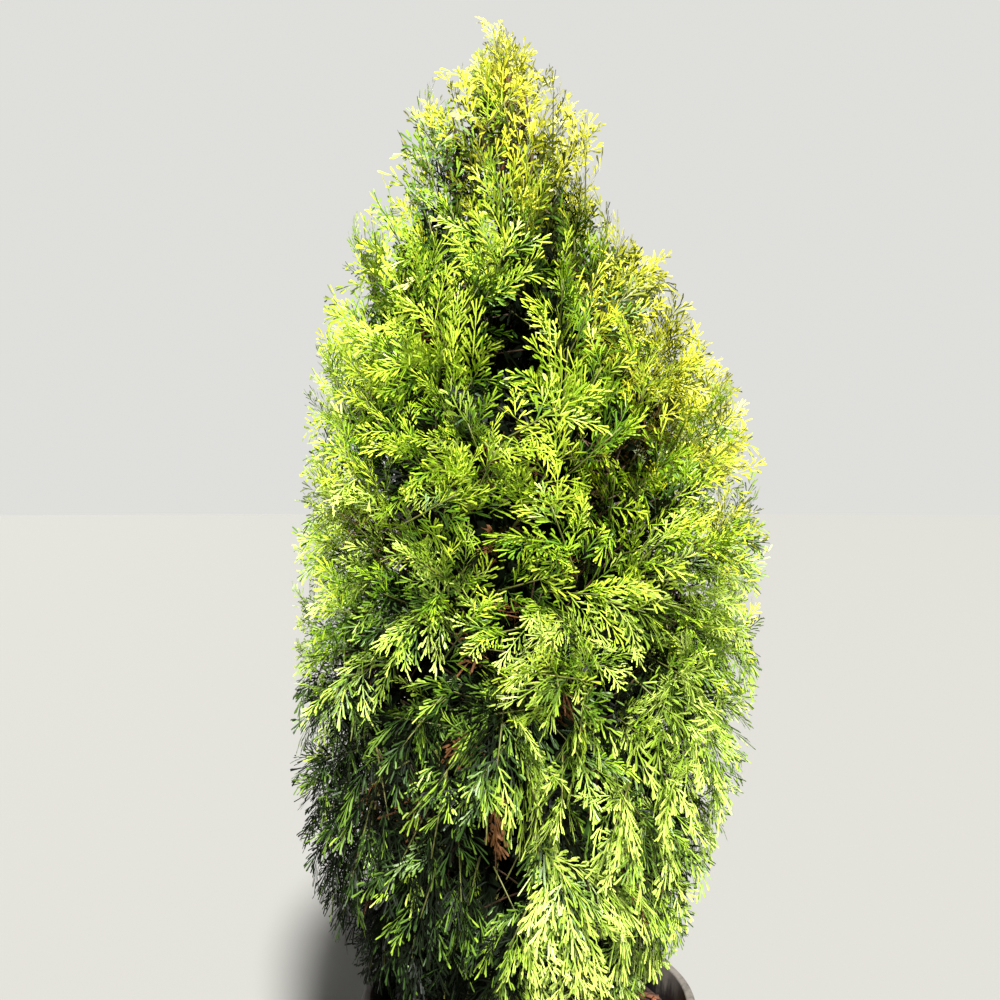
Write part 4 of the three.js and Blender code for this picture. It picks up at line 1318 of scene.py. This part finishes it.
def fronds_on_shoots(random):
    """Fronds in two ranks along every shoot, leaning forwards and shorter to the tip, where one frond carries
    straight on. Each has its place, its directions, its length and the ways it bends."""
    numbers = np.repeat(np.arange(len(SHOOTS)), FRONDS_ON_SHOOT)
    order = np.tile(np.arange(FRONDS_ON_SHOOT), len(SHOOTS))
    count = len(numbers)
    last = order == FRONDS_ON_SHOOT - 1
    share = FIRST_FROND_SHARE + FROND_SPAN * order / (FRONDS_ON_SHOOT - 1)
    share = np.where(last, LAST_FROND_SHARE, share)
    rank = np.where(order % 2, 1.0, -1.0)
    lean = np.radians(mix(*FROND_LEANS, share) + random.normal(0, FROND_LEAN_STRAY, count))
    lean = np.where(last, 0.0, lean) * rank
    grown = length[numbers] * mix(*FROND_REACHES, share) * random.uniform(*FROND_GROWTHS, count)
    grown = np.where(last, length[numbers] * LAST_FROND_REACH, grown * slimness[numbers])
    tangent = shoot_tangent(numbers, share)
    normal = plane[numbers] - (plane[numbers] * tangent).sum(-1, keepdims=True) * tangent
    normal = unit(normal)
    side = np.cross(normal, tangent)
    out_of_plane = random.normal(0, OUT_OF_PLANE, count)[:, None]
    ahead = unit(tangent * np.cos(lean)[:, None] + side * np.sin(lean)[:, None] + normal * out_of_plane)
    tilted = normal + side * random.normal(0, FROND_TILT, count)[:, None]
    tilted = unit(tilted - (tilted * ahead).sum(-1, keepdims=True) * ahead)
    return {
        "foot": shoot_point(numbers, share), "ahead": ahead, "normal": tilted, "length": grown,
        "shoot": numbers, "tier": shoot_tier[numbers], "shade": shoot_shade[numbers],
        "kind": shoot_kind[numbers], "extra": extra_room[numbers],
        "bend": random.normal(*BENDS, count), "cup": random.normal(*CUPS, count),
        "swing": random.normal(0, SWING_STRAY, count),
        "droop": np.interp(foot[numbers, 2], LIFT_HEIGHTS, DROOPS) + random.normal(0, DROOP_STRAY, count),
    }


def palette_of(fronds, random):
    """How warm a frond is, more so to the top and to the +X side, and whether it is low enough to be pale."""
    tips = fronds["foot"] + fronds["ahead"] * fronds["length"][:, None]
    height = (tips[:, 2] - CROWN_FOOT) / (TREE_TOP - CROWN_FOOT)
    sunny = np.clip(np.cos(about_axis(tips)[1] + WARM_TURN), 0, 1) ** 2
    frond_stray = random.normal(0, FROND_WARMTH_STRAY, len(tips))
    stray = frond_stray + random.normal(0, SHOOT_WARMTH_STRAY, len(SHOOTS))[fronds["shoot"]]
    return height + SUN_WARMTH * sunny + stray, height + stray < PALE_BELOW


def light_of(fronds, random):
    """How light a frond's tint is, mostly from 0 to 1, as painted light and shade. It is painted lighter
    near the outline and a little lighter high up, and darker on shoots further in, by their layer's
    painted shade. Low down it is painted much darker on the -X side and at the back, and somewhat darker
    at the front and on the +X side. It is also painted darker in a band under the tip."""
    tips = fronds["foot"] + fronds["ahead"] * fronds["length"][:, None]
    radius, turn = about_axis(tips)
    outness = np.clip(radius / crown_reach(tips[:, 2], turn), 0, OUTNESS_MOST)
    outness = np.where(fronds["tier"] == len(TIERS), 1.0, outness)
    height = np.clip((tips[:, 2] - CROWN_FOOT) / (TREE_TOP - CROWN_FOOT), 0, 1)
    low_away = np.clip(1 - height / AWAY_TOP, 0, 1)
    low_sunny = np.clip(1 - height / SUN_SIDE_TOP, 0, 1)
    light = FROND_LIGHT + HEIGHT_LIGHT * height + OUTNESS_LIGHT * (outness - OUTNESS_MIDDLE) - fronds["shade"]
    light -= AWAY_SHADE * low_away * np.clip((AWAY_EDGE - np.cos(turn + AWAY_TURN)) / AWAY_BLUR, 0, 1)
    light -= SUN_SIDE_SHADE * low_sunny * np.clip((np.cos(turn) - SUN_SIDE_EDGE) / SUN_SIDE_BLUR, 0, 1)
    light -= np.interp(height, BAND_HEIGHTS, BAND_SHADES)
    light = light + random.normal(0, FROND_LIGHT_STRAY, len(tips))
    return light + random.normal(0, SHOOT_LIGHT_STRAY, len(SHOOTS))[fronds["shoot"]]


def spread_fronds(fronds, chosen, template, lightness):
    """Copies of a template at the chosen fronds, each bent along its length, cupped across it, swung to one
    side and drooping under its weight, all by the square of the distance. Gives the points of every strip
    and the strips' lightness."""
    scale = (fronds["length"][chosen] / template["length"])[:, None, None, None]
    x, y, z = (template["points"][None, ..., axis] for axis in range(3))
    bend, cup, swing, droop = (
        fronds[key][chosen][:, None, None] for key in ("bend", "cup", "swing", "droop"))
    bent = z - (bend * x ** 2 + cup * y ** 2) / template["length"]
    swung = y + swing * x ** 2 / template["length"]
    sunk = droop * x ** 2 / template["length"]
    ahead, normal = fronds["ahead"][chosen], fronds["normal"][chosen]
    side = np.cross(normal, ahead)
    local = (x[..., None] * ahead[:, None, None] + swung[..., None] * side[:, None, None]
             + bent[..., None] * normal[:, None, None] - sunk[..., None] * UPWARDS)
    placed = fronds["foot"][chosen][:, None, None] + scale * local
    return placed, lightness[chosen][:, None] + template["glow"][None]


frond_random = np.random.default_rng(FROND_SEED)
FRONDS = fronds_on_shoots(frond_random)
lightness = light_of(FRONDS, frond_random)
nearest_size = np.abs(FRONDS["length"][:, None] - np.array(FROND_LENGTHS)[None]).argmin(axis=1)
template_of = nearest_size * FROND_VARIANTS + frond_random.integers(0, FROND_VARIANTS, len(lightness))
warmth, low_down = palette_of(FRONDS, frond_random)
names = list(TINTS)
tint_at = np.array([[names.index(name) for name in shades] for shades in SHADES.values()])
tiers = range(len(TIERS) + 1)
gathered = {(hidden, tier, name): [] for hidden in (False, True) for tier in tiers for name in names}
for number, template in enumerate(TEMPLATES):
    # Strips past the outline, above the top, under the mix's top or in a gap are left out, and old ones keep
    # further in. Low down, those at the back of a gap have died and are brown.
    hidden = template["kind"] in ("old", "core", "dry")
    for tier in tiers:
        fits = (template_of == number % KIND_TEMPLATES) & (FRONDS["kind"] == template["kind"])
        chosen = np.flatnonzero(fits & (FRONDS["tier"] == tier))
        placed, light = spread_fronds(FRONDS, chosen, template, lightness)
        radius, turn = about_axis(placed)
        reach = crown_reach(placed[..., 2], turn)
        loose = room_at(placed[..., 2], turn) + FRONDS["extra"][chosen][:, None, None]
        room = reach * np.interp(placed[..., 2], HIDDEN_HEIGHTS, HIDDEN_REACHES) if hidden else reach + loose
        kept = ((radius < room) & (placed[..., 2] < TREE_TOP) & (placed[..., 2] > MIX_TOP)).all(axis=-1)
        kept &= ~in_hollow(placed[..., 0, :], HOLLOW_DEPTH) & ~in_sight_gap(placed[..., 0, :])
        warm = warmth[chosen][:, None] + TIP_WARMTH * (template["outer"][None] - 0.5) > WARM_ABOVE
        palette = np.where(warm, 1, np.where(low_down[chosen][:, None], 2, 0))
        tint = tint_at[palette, np.searchsorted(SHADE_STEPS, light)]
        browned = in_hollow(placed[..., 0, :], BROWN_DEPTH) & (placed[..., 0, 2] < BROWN_BELOW)
        tint[browned | (template["kind"] == "dry")] = names.index("dry")
        for shade, name in enumerate(names):
            gathered[hidden, tier, name].append(placed[kept & (tint == shade)])

for name in names:
    # Thuja scale leaves: waxy and faintly glossy, with the small bumps of the scales along each strip.
    scale_leaf, surface = new_material(f"scale_leaf_{name}")
    place = add_node(scale_leaf, "ShaderNodeTexCoord", {}, {}).outputs["Object"]
    scales = add_node(scale_leaf, "ShaderNodeTexNoise", {}, {
        "Vector": place, "Scale": 1 / (SCALE_LENGTH * MM), "Detail": 2,
    }).outputs["Fac"]
    leaf_relief = add_node(scale_leaf, "ShaderNodeBump", {}, {
        "Height": scales, "Strength": 0.5, "Distance": SCALE_DEPTH * MM,
    }).outputs["Normal"]
    leaf_skin = add_node(scale_leaf, "ShaderNodeBsdfPrincipled", {}, {
        "Base Color": linear(TINTS[name]["colour"]), "Roughness": 0.45, "Normal": leaf_relief,
        "Specular IOR Level": TINTS[name]["gloss"],
    }).outputs["BSDF"]
    scale_leaf.node_tree.links.new(leaf_skin, surface.inputs["Surface"])
    for hidden, tier in [(hidden, tier) for hidden in (False, True) for tier in tiers]:
        strips = np.concatenate(gathered[hidden, tier, name])
        # A tint that hardly grows in a tier makes no piece there.
        if len(strips) < FEWEST_STRIPS:
            continue
        faces = STRIP_FACES[None] + strips.shape[1] * np.arange(len(strips))[:, None, None]
        tier_name = TIERS[tier]["name"] if tier < len(TIERS) else "tip"
        add_piece(f"{'old_leaves' if hidden else 'leaves'}_{tier_name}_{name}", strips.reshape(-1, 3),
                  [faces.reshape(-1, 3)], scale_leaf, TINTS[name]["slot"], foliage_nodes[tier])


# The studio
# A pale level floor, a soft distant key light from the front, high up and a little to the right, a weak one
# from behind on the left, and a pale surround. The floor and the camera are placed in metres.
FLOOR_RADIUS = 60
FLOOR_CORNERS = 96
SURROUND_LIGHT = 0.15
SURROUND_SEEN = 0.95
LAMPS = {
    "key_light": {"towards": (-0.16, 0.72, -0.8), "spread": 7, "strength": 10.6},
    "back_light": {"towards": (0.5, -0.75, -0.5), "spread": 20, "strength": 0.6},
}
CAMERA_PLACE = (-0.030, -1.08, 0.829)
CAMERA_LENS = 36.1

turns = np.arange(FLOOR_CORNERS) * TAU / FLOOR_CORNERS
floor_mesh = bpy.data.meshes.new("studio_floor")
floor_points = np.stack([FLOOR_RADIUS * np.cos(turns), FLOOR_RADIUS * np.sin(turns), 0 * turns], axis=1)
floor_mesh.from_pydata(floor_points.tolist(), [], [list(range(FLOOR_CORNERS))])
floor = bpy.data.objects.new("studio_floor", floor_mesh)
bpy.context.scene.collection.objects.link(floor)
# Matt painted floor: a plain grey with no pattern, which the strong key light makes look pale.
pale_floor, surface = new_material("matt_pale_floor")
floor_skin = add_node(pale_floor, "ShaderNodeBsdfPrincipled", {}, {
    "Base Color": linear("#908f8a"), "Roughness": 0.9,
}).outputs["BSDF"]
pale_floor.node_tree.links.new(floor_skin, surface.inputs["Surface"])
floor_mesh.materials.append(pale_floor)
# The floor throws no light back up into the crown, so that its gaps stay dark.
floor.visible_diffuse = False

surround = bpy.data.worlds.new("pale_surround")
surround.use_nodes = True
background = surround.node_tree.nodes["Background"]
background.inputs["Color"].default_value = linear("#e4e4e1")
# The surround is seen paler than it lights, so that the gaps between the fronds stay dark.
ray = add_node(surround, "ShaderNodeLightPath", {}, {}).outputs["Is Camera Ray"]
glow = add_node(surround, "ShaderNodeMapRange", {}, {
    "Value": ray, "To Min": SURROUND_LIGHT, "To Max": SURROUND_SEEN,
}).outputs["Result"]
surround.node_tree.links.new(glow, background.inputs["Strength"])
bpy.context.scene.world = surround

for name, lamp in LAMPS.items():
    light = bpy.data.lights.new(name, "SUN")
    light.angle = math.radians(lamp["spread"])
    light.energy = lamp["strength"]
    holder = bpy.data.objects.new(name, light)
    x, y, z = lamp["towards"]
    holder.rotation_euler = (math.atan2(math.hypot(x, y), -z), 0, math.atan2(-x, y))
    bpy.context.scene.collection.objects.link(holder)

camera_data = bpy.data.cameras.new("camera")
camera_data.lens = CAMERA_LENS
camera_data.clip_start = 0.01
camera = bpy.data.objects.new("camera", camera_data)
camera.location = CAMERA_PLACE
camera.rotation_euler = (math.pi / 2, 0, 0)
bpy.context.scene.collection.objects.link(camera)
bpy.context.scene.camera = camera
bpy.context.scene.view_settings.view_transform = "Standard"
